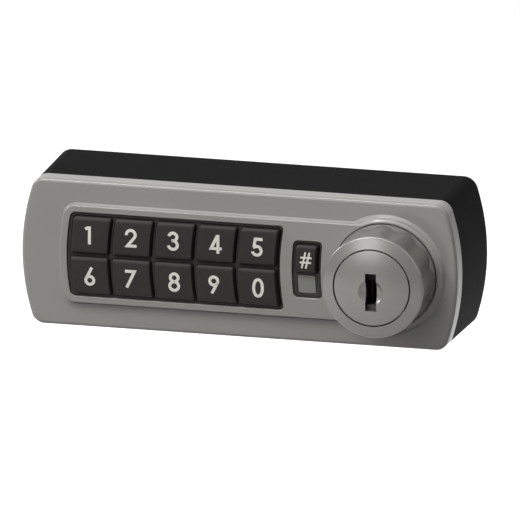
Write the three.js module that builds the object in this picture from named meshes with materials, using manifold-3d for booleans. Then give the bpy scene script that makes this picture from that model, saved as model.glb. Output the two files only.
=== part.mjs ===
// A cabinet lock with a keypad and a turning knob that holds a key cylinder.
// Millimetres. X runs along the case, Z is up and the front faces -Y.
// The origin is the middle of the case's rear face, which lies on the door.
import * as THREE from "three";
import { mergeVertices } from "three/addons/utils/BufferGeometryUtils.js";
import Module from "manifold-3d";

const wasm = await Module();
wasm.setup();

// ---- Driving dimensions ----

// Case: a metal cover on a moulded housing, with both ends bulged as arcs
const caseWidth = 131.2;
const caseHeight = 43.9;
const caseDepth = 33; // from the door to the flat of the cover
const endRadius = 64.5;
const cornerRadius = 4;
const coverDepth = 5.8; // the part of the depth that the cover takes
const coverWall = 1.8;
const coverFillet = 0.8;
const housingWall = 2.4;
const housingFlare = 0.35; // the housing is this much wider at the door, on each side
const seat = 0.3; // gap left between pieces that rest on each other

// Raised panel on the cover, with a stepped edge that runs into the ring round the knob
const panelRise = 1.4;
const panelMargin = 12.2; // from the case's end to the panel's left edge
const panelLeft = -caseWidth / 2 + panelMargin;
const panelHalfHeight = caseHeight / 2 - 7.65;
const panelCorner = 2.6;
const stepRise = 0.75; // height of the edge's lower step
const stepOut = 0.45; // the step's place outside the top edge
const panelFoot = 1.05; // the foot's place outside the top edge

// The knob's place, and the slot of the enter key and status window beside it
const knobX = caseWidth / 2 - 21.55;
const slotWidth = 8.6;
const slotX = knobX - 19.26 - slotWidth / 2;
const slotZ = 0.2;
const slotCorner = 1.3;

// Keypad window, which takes what the panel leaves, and its ten keys in two rows of five
const keypadInset = 1.785; // from the panel's left edge to the window
const slotInset = 3.655; // from the window to the enter key's slot
const keypadWidth = slotX - slotWidth / 2 - slotInset - panelLeft - keypadInset;
const keypadX = panelLeft + keypadInset + keypadWidth / 2;
const keypadZ = 0.15;
const keypadHeight = 2 * panelHalfHeight - 3.4;
const sideRims = 1.9; // what the frame shows at both sides of the keys together
const topRims = 2.15; // and above and below them
const keyGap = 0.75; // between the keys of a row
const rowGap = 1.05;
const keyWidth = (keypadWidth - sideRims - 4 * keyGap) / 5;
const keyHeight = (keypadHeight - topRims - rowGap) / 2;
const keyPitchX = keyWidth + keyGap;
const keyPitchZ = keyHeight + rowGap;
const keyFieldX = 0.2; // the keys' middle, from the window's middle
const keyCorner = 0.9;
const keyFillet = 0.9;
const keyThickness = 3.2;
const keyProud = 1.1; // the keys' height above the raised panel
const keyClearance = 0.25;
const bowRadius = 64.5; // upright edges of the keypad bow to the left on this radius

// Enter key above the status window
const slotHeight = keypadHeight - 8.1;
const slotRim = 1.05; // above the enter key
const windowRim = 1.4; // below the status window
const windowGap = 0.95; // between the two
const windowWidth = 5.3;
const windowHeight = 5.3;
const windowX = slotX - 0.09;
const windowZ = slotZ - slotHeight / 2 + windowRim + windowHeight / 2;
const enterWidth = 6.9;
const enterHeight = slotHeight - slotRim - windowGap - windowHeight - windowRim;
const enterX = slotX + 0.02;
const enterZ = slotZ + slotHeight / 2 - slotRim - enterHeight / 2;

// Frame, rubber mat and circuit board behind the keys
const rimRecess = 0.5; // the frame's rim lies this far below the raised panel
const frameGap = 0.12;
const frameThickness = 1.1;
const frameMargin = 1.6; // how far the frame reaches past the windows
const matThickness = 1;
const bossInset = 1.6; // the mat's boss under a key is this much smaller on each side
const bossWall = 1.2;
const boardThickness = 1.6;
const boardLeft = -caseWidth / 2 + 5.6;
const boardRight = knobX - 10.05;
const boardHalfHeight = caseHeight / 2 - 6.35;
const boardScrewLeft = boardLeft + 2.8;
const boardScrewRight = boardRight - 2.5;
const boardScrewZ = boardHalfHeight - 3.2;
const boardScrewRadius = 0.95;
const boardScrewBite = 1.2; // length of a board screw in its boss
const boardBoss = 2;
const chipSize = 9;
const chipHeight = 1.2;
const lampSize = 2;

// Knob and key cylinder
const knobRadius = 15.25; // grip, at the front
const knobFlangeRadius = 15.45; // thin round flange at its foot
const knobFlange = 0.9;
const knobReach = 15.95; // from the face's flat to the edge of the cylinder
const knobBevelRise = 1.05; // the front slopes up this much towards the cylinder
const fluteCount = 12;
const fluteRadius = 5;
const fluteDepth = 1.15; // at the foot; a flute fades out at the front
const ringTop = 16.55; // radii of the fixed ring round the knob
const ringStep = 17.2;
const ringFoot = 18.25;
const ringGap = 0.25;
const shankRadius = 11;
const shankClearance = 0.3;
const boreWall = 1.9;
const discRadius = 11.4; // face of the key plug
const discDome = 1.4;
const discThickness = 3;
const discGap = 0.25;
const plugRadius = 7.1;
const sleeveWall = 0.9;
const turningGap = 0.15;
const keywayWidth = 3.3;
const keywayHeight = 11.3;
const keywayDrop = 1.1; // the keyway sits this far below the axis
const keywayDepth = 4.2;
const dishRadius = 3.85;
const dishDepth = 1.4;
const bladeWidth = 1.8; // narrow part of the keyway, behind its mouth
const bladeHeight = 8.4;
const waferCount = 5;
const waferPitch = 2.8;
const waferThickness = 0.9;
const waferWidth = 3.6;
const waferHeight = 13.2;

// Locking rotor behind the knob, and the bolt that blocks it
const rotorRadius = 13.2;
const rotorThickness = 5;
const rotorY = -20; // its front face
const notchWidth = 4.6;
const notchDepth = 3.4;
const turnRange = 90; // degrees from stop to stop
const fingerAngle = 16; // degrees taken by the rotor's stop finger
const fingerLength = 2.8;
const rotorScrewRadius = 0.8;
const boltTravel = 2.8;
const boltWidth = 4;
const boltGap = 0.5; // between the drawn bolt and the rotor
const boltBlock = 8; // length of the bolt behind its nose, where it is as wide as the motor
const boltNose = 7;
const leadScrewRadius = 1.2;
const motorLength = 15;
const motorRadius = 4;
const bracketWall = 0.8;
const bracketEnd = 1.2; // thickness of its cross walls

// Threaded barrel through the door, its nut, and the cam
const barrelRadius = 9.4;
const barrelFlat = 8; // two flats, this far from the axis
const barrelLength = 20;
const doorThickness = 13; // space between the case and the washer
const spindleRadius = 4.6;
const spindleClearance = 0.25;
const nutAcross = 23;
const nutThickness = 4.2;
const washerRadius = 12.6;
const washerThickness = 1;
const camLength = 42;
const camWidth = 17;
const camThickness = 2.6;
const camSquare = 6.4;
const camTip = 5; // corner radius of the cam's free end
const camScrewRadius = 1.5;
const camScrewHead = 4.8;
const camScrewHeight = 2.4;
const camScrewLength = 6;

// Two AAA cells side by side above a door in the housing's underside
const cellRadius = 5.2;
const cellLength = 44.5;
const cellX = -19;
const cellSpacing = 11.2;
const cellY = -14.5; // midway between the two cells
const cellGap = 0.4;
const trayWall = 0.8;
const contactWidth = 8;
const contactHeight = 7;
const contactSheet = 0.4;
const contactRoom = 1.6; // between a cell's end and the tray's end wall
const lidThickness = 1.3;
const lidMargin = 4; // how far the lid reaches past the cells, on the left
const lidTab = 10; // and on the right, where its screw is
const lidLedge = 1.2;
const lidGap = 0.2;

// Fasteners and the fixing at the case's far end
const caseScrewX = caseWidth / 2 - 7.6;
const caseScrewZ = caseHeight / 2 - 6.35;
const coverBoss = 3;
const housingBoss = 3.6;
const caseScrewRadius = 1.3;
const caseScrewHead = 2.6;
const caseScrewSink = 3; // from the rear face to the seat of the screw's head
const anchorX = -caseWidth / 2 + 19.6;
const anchorZ = 5;
const anchorRadius = 4;
const anchorLength = 9;
const anchorBore = 1.9;

// ---- Levels along Y, worked out from the sizes above ----

const faceY = -caseDepth;
const jointY = faceY + coverDepth; // where the cover meets the housing
const panelY = faceY - panelRise;
const stepY = faceY - stepRise;
const coverInsideY = faceY + coverWall;
const pocketY = panelY + coverWall; // hollow behind the raised panel
const keyFrontY = panelY - keyProud;
const keyBackY = keyFrontY + keyThickness;
const rimY = panelY + rimRecess;
const frameY = pocketY + seat;
const frameBackY = frameY + frameThickness;
const matY = frameBackY + seat;
const matBackY = matY + matThickness;
const boardY = matBackY + seat;
const boardBackY = boardY + boardThickness;
const insideRearY = -housingWall;
const knobFootY = panelY + 0.6; // the flange sits in a shallow counterbore
const discEdgeY = faceY - knobReach;
const knobEdgeY = discEdgeY + knobBevelRise;
const rotorBackY = rotorY + rotorThickness;
const washerY = doorThickness;
const nutY = washerY + washerThickness + seat;
const camY = barrelLength + 1;
const endSegments = 8;
const cornerSteps = 3;
const roundSegments = 48;
const boreSegments = 36;
const bossSegments = 10;
const holeSegments = 8;

// ---- Materials ----

function finish(color, roughness, metalness) {
  return new THREE.MeshStandardMaterial({ color, roughness, metalness });
}
const satinMetal = () => finish(0x9c9b95, 0.45, 0.9);
const blackPlastic = () => finish(0x242424, 0.55, 0);
const keyPlastic = () => finish(0x333230, 0.5, 0);
const rubber = () => finish(0x1c1c1c, 0.9, 0);
const steel = () => finish(0xb4b6b8, 0.35, 1);
const brass = () => finish(0xc2a35a, 0.35, 1);
const boardGreen = () => finish(0x1f5a3a, 0.6, 0);

// ---- Solids from outlines, profiles and boxes ----

// A closed geometry as a solid whose faces point outwards.
function solid(geometry) {
  const bare = geometry.clone();
  bare.deleteAttribute("normal");
  bare.deleteAttribute("uv");
  const merged = mergeVertices(bare, 1e-4);
  const vertProperties = new Float32Array(merged.attributes.position.array);
  const triVerts = new Uint32Array(merged.index.array);
  const made = new wasm.Manifold(new wasm.Mesh({ numProp: 3, vertProperties, triVerts }));
  if (made.volume() > 0) return made;
  for (let i = 0; i < triVerts.length; i += 3) {
    const first = triVerts[i];
    triVerts[i] = triVerts[i + 1];
    triVerts[i + 1] = first;
  }
  return new wasm.Manifold(new wasm.Mesh({ numProp: 3, vertProperties, triVerts }));
}

function geometryOf(made) {
  const mesh = made.getMesh();
  const positions = new Float32Array(mesh.numVert * 3);
  for (let i = 0; i < mesh.numVert; i++) {
    const start = i * mesh.numProp;
    positions.set(mesh.vertProperties.subarray(start, start + 3), i * 3);
  }
  const geometry = new THREE.BufferGeometry();
  geometry.setAttribute("position", new THREE.BufferAttribute(positions, 3));
  geometry.setIndex(new THREE.BufferAttribute(new Uint32Array(mesh.triVerts), 1));
  geometry.computeVertexNormals();
  return geometry;
}

// An outline of X and Z points, drawn out along Y from frontY to backY.
function slab(outline, frontY, backY) {
  const shape = new THREE.Shape(outline);
  const depth = backY - frontY;
  const geometry = new THREE.ExtrudeGeometry(shape, { depth, bevelEnabled: false });
  geometry.rotateX(Math.PI / 2);
  geometry.translate(0, backY, 0);
  return solid(geometry);
}

// An outline of Y and Z points, drawn out along X from leftX to rightX.
function lengthwise(outline, leftX, rightX) {
  const depth = rightX - leftX;
  const geometry = new THREE.ExtrudeGeometry(new THREE.Shape(outline), { depth, bevelEnabled: false });
  geometry.rotateX(Math.PI / 2);
  geometry.rotateZ(Math.PI / 2);
  geometry.translate(leftX, 0, 0);
  return solid(geometry);
}

// A skin over outlines of equal point count, each at its own Y, closed by flat ends.
function loft(rings) {
  const positions = [];
  const count = rings[0].outline.length;
  const at = (ring, i) => {
    const point = ring.outline[(i + count) % count];
    return [point.x, ring.y, point.y];
  };
  for (let r = 1; r < rings.length; r++) {
    for (let i = 0; i < count; i++) {
      const [a, b] = [at(rings[r - 1], i), at(rings[r - 1], i + 1)];
      const [c, d] = [at(rings[r], i), at(rings[r], i + 1)];
      positions.push(...a, ...b, ...c, ...b, ...d, ...c);
    }
  }
  const ends = [rings[0], rings[rings.length - 1]];
  ends.forEach((ring, end) => {
    for (const [a, b, c] of THREE.ShapeUtils.triangulateShape(ring.outline, [])) {
      const corners = end === 0 ? [c, b, a] : [a, b, c];
      corners.forEach((i) => positions.push(...at(ring, i)));
    }
  });
  const geometry = new THREE.BufferGeometry();
  geometry.setAttribute("position", new THREE.Float32BufferAttribute(positions, 3));
  return solid(geometry);
}

// A profile of [radius, y] points turned about the Y axis.
function turned(profile, { segments = roundSegments, x = 0 } = {}) {
  const points = profile.map(([radius, y]) => new THREE.Vector2(radius, y));
  const geometry = new THREE.LatheGeometry(points, segments);
  geometry.translate(x, 0, 0);
  return solid(geometry);
}

// A round bar along Y.
function bar(radius, frontY, backY, segments = 24, x = 0, z = 0) {
  const geometry = new THREE.CylinderGeometry(radius, radius, backY - frontY, segments);
  geometry.translate(x, (frontY + backY) / 2, z);
  return solid(geometry);
}

// A round bar along X.
function crossBar(radius, leftX, rightX, y, z, segments = 24) {
  const geometry = new THREE.CylinderGeometry(radius, radius, rightX - leftX, segments);
  geometry.rotateZ(Math.PI / 2);
  geometry.translate((leftX + rightX) / 2, y, z);
  return solid(geometry);
}

function box([x0, x1], [y0, y1], [z0, z1]) {
  const geometry = new THREE.BoxGeometry(x1 - x0, y1 - y0, z1 - z0);
  geometry.translate((x0 + x1) / 2, (y0 + y1) / 2, (z0 + z1) / 2);
  return solid(geometry);
}

const middleSpan = (middle, size) => [middle - size / 2, middle + size / 2];

// ---- Outlines ----

function arcPoints(x, z, radius, from, to, segments) {
  const points = [];
  for (let i = 0; i <= segments; i++) {
    const angle = from + ((to - from) * i) / segments;
    points.push(new THREE.Vector2(x + radius * Math.cos(angle), z + radius * Math.sin(angle)));
  }
  return points;
}

// The case seen from the front, grown outwards on every side.
// Flat top and bottom, bulged ends, and corners rounded between them.
function caseOutline(grow = 0) {
  const end = endRadius + grow;
  const corner = cornerRadius + grow;
  const halfHeight = caseHeight / 2 + grow;
  const endX = caseWidth / 2 + grow - end;
  const cornerZ = halfHeight - corner;
  const cornerX = endX + Math.sqrt((end - corner) ** 2 - cornerZ ** 2);
  const turn = Math.atan2(cornerZ, cornerX - endX);
  const right = [
    ...arcPoints(cornerX, -cornerZ, corner, -Math.PI / 2, -turn, cornerSteps),
    ...arcPoints(endX, 0, end, -turn, turn, endSegments).slice(1, -1),
    ...arcPoints(cornerX, cornerZ, corner, turn, Math.PI / 2, cornerSteps),
  ];
  const left = right.map((point) => new THREE.Vector2(-point.x, -point.y));
  return [...right, ...left];
}

// How far an upright edge of the keypad has bowed at height z.
const bow = (z) => bowRadius - Math.sqrt(bowRadius ** 2 - (z - keypadZ) ** 2);

// A rounded rectangle whose two upright edges bow to the left together.
function bowedOutline({ x, z, width, height, corner, grow = 0, sideSegments = 4, cornerSegments = 2 }) {
  const halfWidth = width / 2 + grow;
  const halfHeight = height / 2 + grow;
  const radius = Math.max(corner + grow, 0.15);
  const sideX = halfWidth - radius;
  const sideZ = halfHeight - radius;
  const points = [];
  const quarters = [[1, -1, -90], [1, 1, 0], [-1, 1, 90], [-1, -1, 180]];
  quarters.forEach(([right, up, degrees], i) => {
    const from = THREE.MathUtils.degToRad(degrees);
    points.push(...arcPoints(right * sideX, up * sideZ, radius, from, from + Math.PI / 2, cornerSegments));
    if (i % 2 === 0) {
      for (let s = 1; s < sideSegments; s++) {
        const height = -sideZ + (2 * sideZ * s) / sideSegments;
        points.push(new THREE.Vector2(right * halfWidth, right * height));
      }
    }
  });
  return points.map((point) => new THREE.Vector2(x + point.x + bow(z + point.y), z + point.y));
}

const keypadWindow = { x: keypadX, z: keypadZ, width: keypadWidth, height: keypadHeight, corner: 1.1 };
const keyField = {
  x: keypadX + keyFieldX,
  z: keypadZ,
  width: 4 * keyPitchX + keyWidth,
  height: keyPitchZ + keyHeight,
  corner: keyCorner,
};
const enterSlot = { x: slotX, z: slotZ, width: slotWidth, height: slotHeight, corner: slotCorner };
const enterKey = { x: enterX, z: enterZ, width: enterWidth, height: enterHeight, corner: keyCorner };

const group = new THREE.Group();

function addNode(parent, name, made, material) {
  const mesh = new THREE.Mesh(geometryOf(made), material);
  mesh.name = name;
  parent.add(mesh);
  return mesh;
}

// ---- Front cover ----

const countTo = (count) => [...Array(count).keys()];
const sleeveBore = shankRadius + shankClearance;
const sleeveOuter = sleeveBore + boreWall;
const sleeveEndY = rotorY - fingerLength - 2 * seat;

// The raised panel's outline, closed on the right inside the ring round the knob.
function panelOutline(grow) {
  const width = knobX - panelLeft;
  return bowedOutline({
    x: panelLeft + width / 2,
    z: 0,
    width,
    height: 2 * panelHalfHeight,
    corner: panelCorner,
    grow,
    sideSegments: 6,
    cornerSegments: 4,
  });
}

function raisedPanel() {
  return loft([
    { outline: panelOutline(0), y: panelY },
    { outline: panelOutline(0.2), y: panelY + 0.12 },
    { outline: panelOutline(0.32), y: stepY - 0.1 },
    { outline: panelOutline(stepOut), y: stepY },
    { outline: panelOutline(0.8), y: stepY + 0.15 },
    { outline: panelOutline(panelFoot), y: faceY },
    { outline: panelOutline(panelFoot), y: coverInsideY - 0.5 },
  ]);
}

function knobRing() {
  return turned([
    [0, panelY],
    [ringTop, panelY],
    [ringTop + 0.35, panelY + 0.12],
    [ringStep - 0.1, stepY - 0.1],
    [ringStep, stepY],
    [ringStep + 0.5, stepY + 0.15],
    [ringFoot, faceY],
    [ringFoot, coverInsideY - 0.5],
    [0, coverInsideY - 0.5],
  ], { x: knobX });
}

// The bay behind the raised panel, which takes the keypad's frame and mat.
function bayOutline(grow) {
  const left = keypadX - keypadWidth / 2 - frameMargin;
  const right = slotX + slotWidth / 2 + frameMargin;
  return bowedOutline({
    x: (left + right) / 2,
    z: keypadZ,
    width: right - left,
    height: keypadHeight + 2 * frameMargin,
    corner: 1.5,
    grow,
  });
}

const caseScrewPlaces = [-1, 1].flatMap((side) =>
  [-1, 1].map((up) => [side * caseScrewX, up * caseScrewZ]),
);
const boardScrewPlaces = [
  [boardScrewLeft, -boardScrewZ + 3.4],
  [boardScrewLeft, boardScrewZ - 3.4],
  [boardScrewRight, -boardScrewZ],
  [boardScrewRight, boardScrewZ],
];

// A fan-shaped block round the knob's axis, between two angles in degrees.
function sector(inner, outer, fromDegrees, toDegrees, frontY, backY) {
  const from = THREE.MathUtils.degToRad(fromDegrees);
  const to = THREE.MathUtils.degToRad(toDegrees);
  const steps = Math.max(2, Math.round((toDegrees - fromDegrees) / 12));
  const outline = [
    ...arcPoints(0, 0, outer, from, to, steps),
    ...arcPoints(0, 0, inner, to, from, steps),
  ];
  return slab(outline, frontY, backY);
}

// Metal cover: a shallow tray with the raised panel, the knob's ring and sleeve,
// two windows, screw bosses, and a skirt whose ends stop the rotor's finger.
function frontCover() {
  const fillet = (angle) => ({
    outline: caseOutline(-coverFillet * (1 - Math.sin(angle))),
    y: faceY + coverFillet * (1 - Math.cos(angle)),
  });
  let cover = loft([
    ...[0, 1, 2, 3].map((i) => fillet((i * Math.PI) / 6)),
    { outline: caseOutline(), y: jointY },
  ]);
  cover = cover.add(raisedPanel()).add(knobRing());
  cover = cover.subtract(slab(caseOutline(-coverWall), coverInsideY, jointY + 1));
  cover = cover.subtract(slab(bayOutline(0), pocketY, jointY));
  cover = cover.subtract(slab(bowedOutline(keypadWindow), panelY - 1, jointY));
  cover = cover.subtract(slab(bowedOutline(enterSlot), panelY - 1, jointY));
  cover = cover.add(bar(sleeveOuter, coverInsideY - 0.5, sleeveEndY, boreSegments, knobX));
  const skirt = sector(sleeveBore, sleeveOuter, skirtFrom, skirtTo, sleeveEndY - 0.5, rotorY - seat);
  cover = cover.add(movedAlongX(skirt, knobX));
  cover = cover.subtract(bar(sleeveBore, panelY - 1, rotorY, boreSegments, knobX));
  const flangeBore = knobFlangeRadius + ringGap;
  cover = cover.subtract(bar(flangeBore, panelY - 1, knobFootY + seat, roundSegments, knobX));
  for (const [x, z] of caseScrewPlaces) {
    cover = cover.add(bar(coverBoss, coverInsideY - 0.5, jointY, bossSegments, x, z));
    cover = cover.subtract(bar(caseScrewRadius + 0.15, coverInsideY + 0.4, jointY + 1, holeSegments, x, z));
  }
  for (const [x, z] of boardScrewPlaces) {
    cover = cover.add(bar(boardBoss, coverInsideY - 0.5, boardY, bossSegments, x, z));
    const hole = bar(boardScrewRadius + 0.15, coverInsideY + 0.2, boardY + 1, holeSegments, x, z);
    cover = cover.subtract(hole);
  }
  return cover;
}

function movedAlongX(made, x) {
  const geometry = geometryOf(made);
  geometry.translate(x, 0, 0);
  return solid(geometry);
}

// The skirt leaves open the quarter turn that the finger sweeps, clockwise from its rest.
const fingerRest = 60;
const skirtFrom = fingerRest + fingerAngle / 2 + 1.5;
const skirtTo = fingerRest - turnRange - fingerAngle / 2 - 1.5 + 360;

addNode(group, "front_cover", frontCover(), satinMetal());

// ---- Rear housing, its seal and battery lid ----

const lidLeft = cellX - cellLength / 2 - lidMargin;
const lidRight = cellX + cellLength / 2 + lidTab;
const mouthRight = cellX + cellLength / 2 + lidMargin - lidLedge;
const lidScrewX = (mouthRight + lidRight) / 2;
const cellReach = cellSpacing / 2 + cellRadius;
const cellZ = -caseHeight / 2 + housingWall + cellGap + cellRadius;

function housingBlock() {
  const edge = 0.6;
  return loft([
    { outline: caseOutline(), y: jointY },
    { outline: caseOutline(housingFlare), y: -edge },
    { outline: caseOutline(housingFlare - edge * 0.3), y: -edge * 0.3 },
    { outline: caseOutline(housingFlare - edge), y: 0 },
  ]);
}

function lidBlock(shrink, right, bottomZ, topZ) {
  const across = [cellY - cellReach + shrink, cellY + cellReach - shrink];
  return box([lidLeft + shrink, right], across, [bottomZ, topZ]);
}

const lidTopZ = -caseHeight / 2 + lidThickness;
const lidSeatZ = lidTopZ - 0.5; // the lid screw's head sits on this level
const lidPostTopZ = lidTopZ + lidGap + 5;

function sealRing(inset, width, frontY, backY) {
  const outer = slab(caseOutline(-inset), frontY, backY);
  return outer.subtract(slab(caseOutline(-inset - width), frontY - 1, backY + 1));
}

function rearHousing() {
  let housing = housingBlock();
  housing = housing.subtract(slab(caseOutline(-housingWall), jointY - 1, insideRearY));
  housing = housing.subtract(sealRing(0.7, 1, jointY - 1, jointY + 1));
  for (const [x, z] of caseScrewPlaces) {
    housing = housing.add(bar(housingBoss, jointY, -1, bossSegments, x, z));
    housing = housing.subtract(bar(caseScrewRadius + 0.2, jointY - 1, 1, holeSegments, x, z));
    housing = housing.subtract(bar(caseScrewHead + 0.3, -caseScrewSink, 1, 12, x, z));
  }
  housing = housing.add(bar(anchorRadius + 2, -anchorLength - 1, -1, 16, anchorX, anchorZ));
  housing = housing.subtract(bar(anchorRadius + 0.1, -anchorLength - 0.2, 1, 16, anchorX, anchorZ));
  housing = housing.subtract(movedAlongX(barrelSection(0.2, -5, 1), knobX));
  const post = box(middleSpan(lidScrewX, 5), middleSpan(cellY, 6), [lidTopZ + lidGap, lidPostTopZ]);
  housing = housing.subtract(lidBlock(0, lidRight, -caseHeight, lidTopZ + lidGap));
  housing = housing.subtract(lidBlock(lidLedge, mouthRight, -caseHeight, cellZ)).add(post);
  return housing.subtract(lidScrewHole(1.1, -caseHeight, lidPostTopZ - 0.8));
}

function lidScrewHole(radius, bottomZ, topZ) {
  const geometry = new THREE.CylinderGeometry(radius, radius, topZ - bottomZ, 12);
  geometry.rotateX(Math.PI / 2);
  geometry.translate(lidScrewX, cellY, (bottomZ + topZ) / 2);
  return solid(geometry);
}

// Lid flush with the underside, with a raised pad inside the ledge.
function batteryLid() {
  const plate = housingBlock().intersect(lidBlock(lidGap, lidRight - lidGap, -caseHeight, lidTopZ));
  const padTopZ = -caseHeight / 2 + housingWall;
  const pad = lidBlock(lidLedge + lidGap, mouthRight - lidGap, lidTopZ - 0.5, padTopZ);
  const lid = plate.add(pad).subtract(lidScrewHole(2.2, -caseHeight, lidSeatZ));
  return lid.subtract(lidScrewHole(1.2, -caseHeight, 0));
}

addNode(group, "rear_housing", rearHousing(), blackPlastic());
addNode(group, "battery_lid", batteryLid(), blackPlastic());
addNode(group, "cover_seal", sealRing(0.8, 0.8, jointY + 0.05, jointY + 0.9), rubber());

// ---- Keypad ----

const windowOutline = { x: windowX, z: windowZ, width: windowWidth, height: windowHeight, corner: 0.4 };
const windowLip = 0.7;
const windowLipY = frameBackY - 0.9;

// Frame: a rim round the keys and a pad round the enter key, on one flange.
function keypadFrame() {
  let frame = slab(bayOutline(-seat), frameY, frameBackY);
  for (const opening of [keypadWindow, enterSlot]) {
    frame = frame.add(slab(bowedOutline({ ...opening, grow: -frameGap }), rimY, frameBackY - 0.2));
  }
  for (const keys of [keyField, enterKey]) {
    frame = frame.subtract(slab(bowedOutline({ ...keys, grow: keyClearance }), rimY - 1, frameBackY + 1));
  }
  frame = frame.subtract(slab(bowedOutline({ ...windowOutline, grow: 0.1 }), rimY - 1, frameBackY + 1));
  const lip = bowedOutline({ ...windowOutline, grow: windowLip + 0.1 });
  return frame.subtract(slab(lip, windowLipY - 0.1, frameBackY + 1));
}

function statusWindow() {
  const front = slab(bowedOutline(windowOutline), rimY, frameBackY);
  const lip = slab(bowedOutline({ ...windowOutline, grow: windowLip }), windowLipY, frameBackY);
  return front.add(lip);
}

// A key cap with bowed sides: its front edge rounded, its back flat on the mat's boss.
function keyCap(outline) {
  const ring = (angle) => ({
    outline: bowedOutline({ ...outline, grow: -keyFillet * (1 - Math.sin(angle)) }),
    y: keyFrontY + keyFillet * (1 - Math.cos(angle)),
  });
  return loft([
    ...[0, 1, 2].map((i) => ring((i * Math.PI) / 4)),
    { outline: bowedOutline(outline), y: keyBackY },
  ]);
}

const keyRows = [
  { digits: [1, 2, 3, 4, 5], z: keypadZ + keyPitchZ / 2 },
  { digits: [6, 7, 8, 9, 0], z: keypadZ - keyPitchZ / 2 },
];
const keyX = (column) => keypadX + keyFieldX + (column - 2) * keyPitchX;

const keys = new THREE.Group();
for (const row of keyRows) {
  const cap = { x: 0, z: row.z, width: keyWidth, height: keyHeight, corner: keyCorner, sideSegments: 3 };
  row.digits.forEach((digit, column) => {
    addNode(keys, "key_" + digit, keyCap(cap), keyPlastic()).position.x = keyX(column);
  });
}
addNode(keys, "key_enter", keyCap({ ...enterKey, sideSegments: 3 }), keyPlastic());
group.add(keys);

// Rubber mat: one boss under each key, hollow behind so that it can give.
function keypadMat() {
  let mat = slab(bayOutline(-seat - 0.3), matY, matBackY);
  const places = keyRows.flatMap(({ digits, z }) =>
    digits.map((digit, i) => [keyX(i), z, keyWidth, keyHeight]),
  );
  places.push([enterX, enterZ, enterWidth, enterHeight]);
  for (const [x, z, width, height] of places) {
    const across = middleSpan(x + bow(z), width - 2 * bossInset);
    const up = middleSpan(z, height - 2 * bossInset);
    mat = mat.add(box(across, [keyBackY + seat, matBackY - 0.2], up));
    const hollow = [across[0] + bossWall, across[1] - bossWall];
    const hollowUp = [up[0] + bossWall, up[1] - bossWall];
    mat = mat.subtract(box(hollow, [keyBackY + seat + 1, matBackY + 1], hollowUp));
  }
  const lamp = middleSpan(windowX + bow(windowZ), 3);
  return mat.subtract(box(lamp, [matY - 1, matBackY + 1], middleSpan(windowZ, 3)));
}

function circuitBoard() {
  let board = box([boardLeft, boardRight], [boardY, boardBackY], middleSpan(0, 2 * boardHalfHeight));
  for (const [x, z] of boardScrewPlaces) {
    board = board.subtract(bar(boardScrewRadius + 0.25, boardY - 1, 0, holeSegments, x, z));
  }
  for (const [x, z] of caseScrewPlaces) {
    board = board.subtract(bar(coverBoss + 0.4, boardY - 1, 0, bossSegments, x, z));
  }
  return board.subtract(bar(sleeveOuter + 0.5, boardY - 1, 0, boreSegments, knobX));
}

// A screw along Y whose head faces the door.
function screw(radius, headRadius, headHeight, length) {
  return turned([
    [0, -length],
    [radius, -length + radius * 0.6],
    [radius, 0],
    [headRadius, 0],
    [headRadius, headHeight * 0.6],
    [headRadius * 0.75, headHeight],
    [0, headHeight],
  ], { segments: 10 });
}

addNode(group, "keypad_frame", keypadFrame(), blackPlastic());
addNode(group, "status_window", statusWindow(), finish(0x6f6f6b, 0.4, 0));
addNode(group, "keypad_mat", keypadMat(), rubber());
addNode(group, "circuit_board", circuitBoard(), boardGreen());
const lampX = windowX + bow(windowZ);
const lamp = box(middleSpan(lampX, lampSize), [boardY - 1, boardY], middleSpan(windowZ, lampSize));
addNode(group, "status_lamp", lamp, finish(0xf0f0e8, 0.3, 0));
const chipZ = boardHalfHeight - chipSize / 2 - 2;
const chipY = [boardBackY, boardBackY + chipHeight];
const chip = box(middleSpan(lampX - 2 * chipSize, chipSize), chipY, middleSpan(chipZ, chipSize));
addNode(group, "controller_chip", chip, finish(0x181818, 0.4, 0));
boardScrewPlaces.forEach(([x, z], i) => {
  const made = screw(boardScrewRadius, boardBoss - 0.1, 1.1, boardThickness + boardScrewBite);
  addNode(group, "board_screw_" + (i + 1), made, steel()).position.set(x, boardBackY, z);
});

// ---- Knob, key cylinder and rotor, about the knob's axis ----

const turning = new THREE.Group();
turning.position.x = knobX;
group.add(turning);

// One flute: a round cutter leaning in towards the knob's foot.
function fluteCutter(angle) {
  const start = knobEdgeY - 1;
  const end = knobFootY - knobFlange;
  const length = Math.hypot(end - start, fluteDepth);
  const geometry = new THREE.CylinderGeometry(fluteRadius, fluteRadius, length, 20);
  geometry.rotateZ(Math.atan2(fluteDepth, end - start));
  geometry.translate(knobRadius + fluteRadius - fluteDepth / 2 + 0.1, (start + end) / 2, 0);
  geometry.rotateY(angle);
  return solid(geometry);
}

const sleeveRadius = plugRadius + turningGap + sleeveWall;
const discBackY = discEdgeY + discThickness;
const sleeveBackY = -26.5;
const plugBackY = sleeveBackY + 3;
const rotorScrewPlace = (shankRadius + sleeveRadius + turningGap) / 2;

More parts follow.
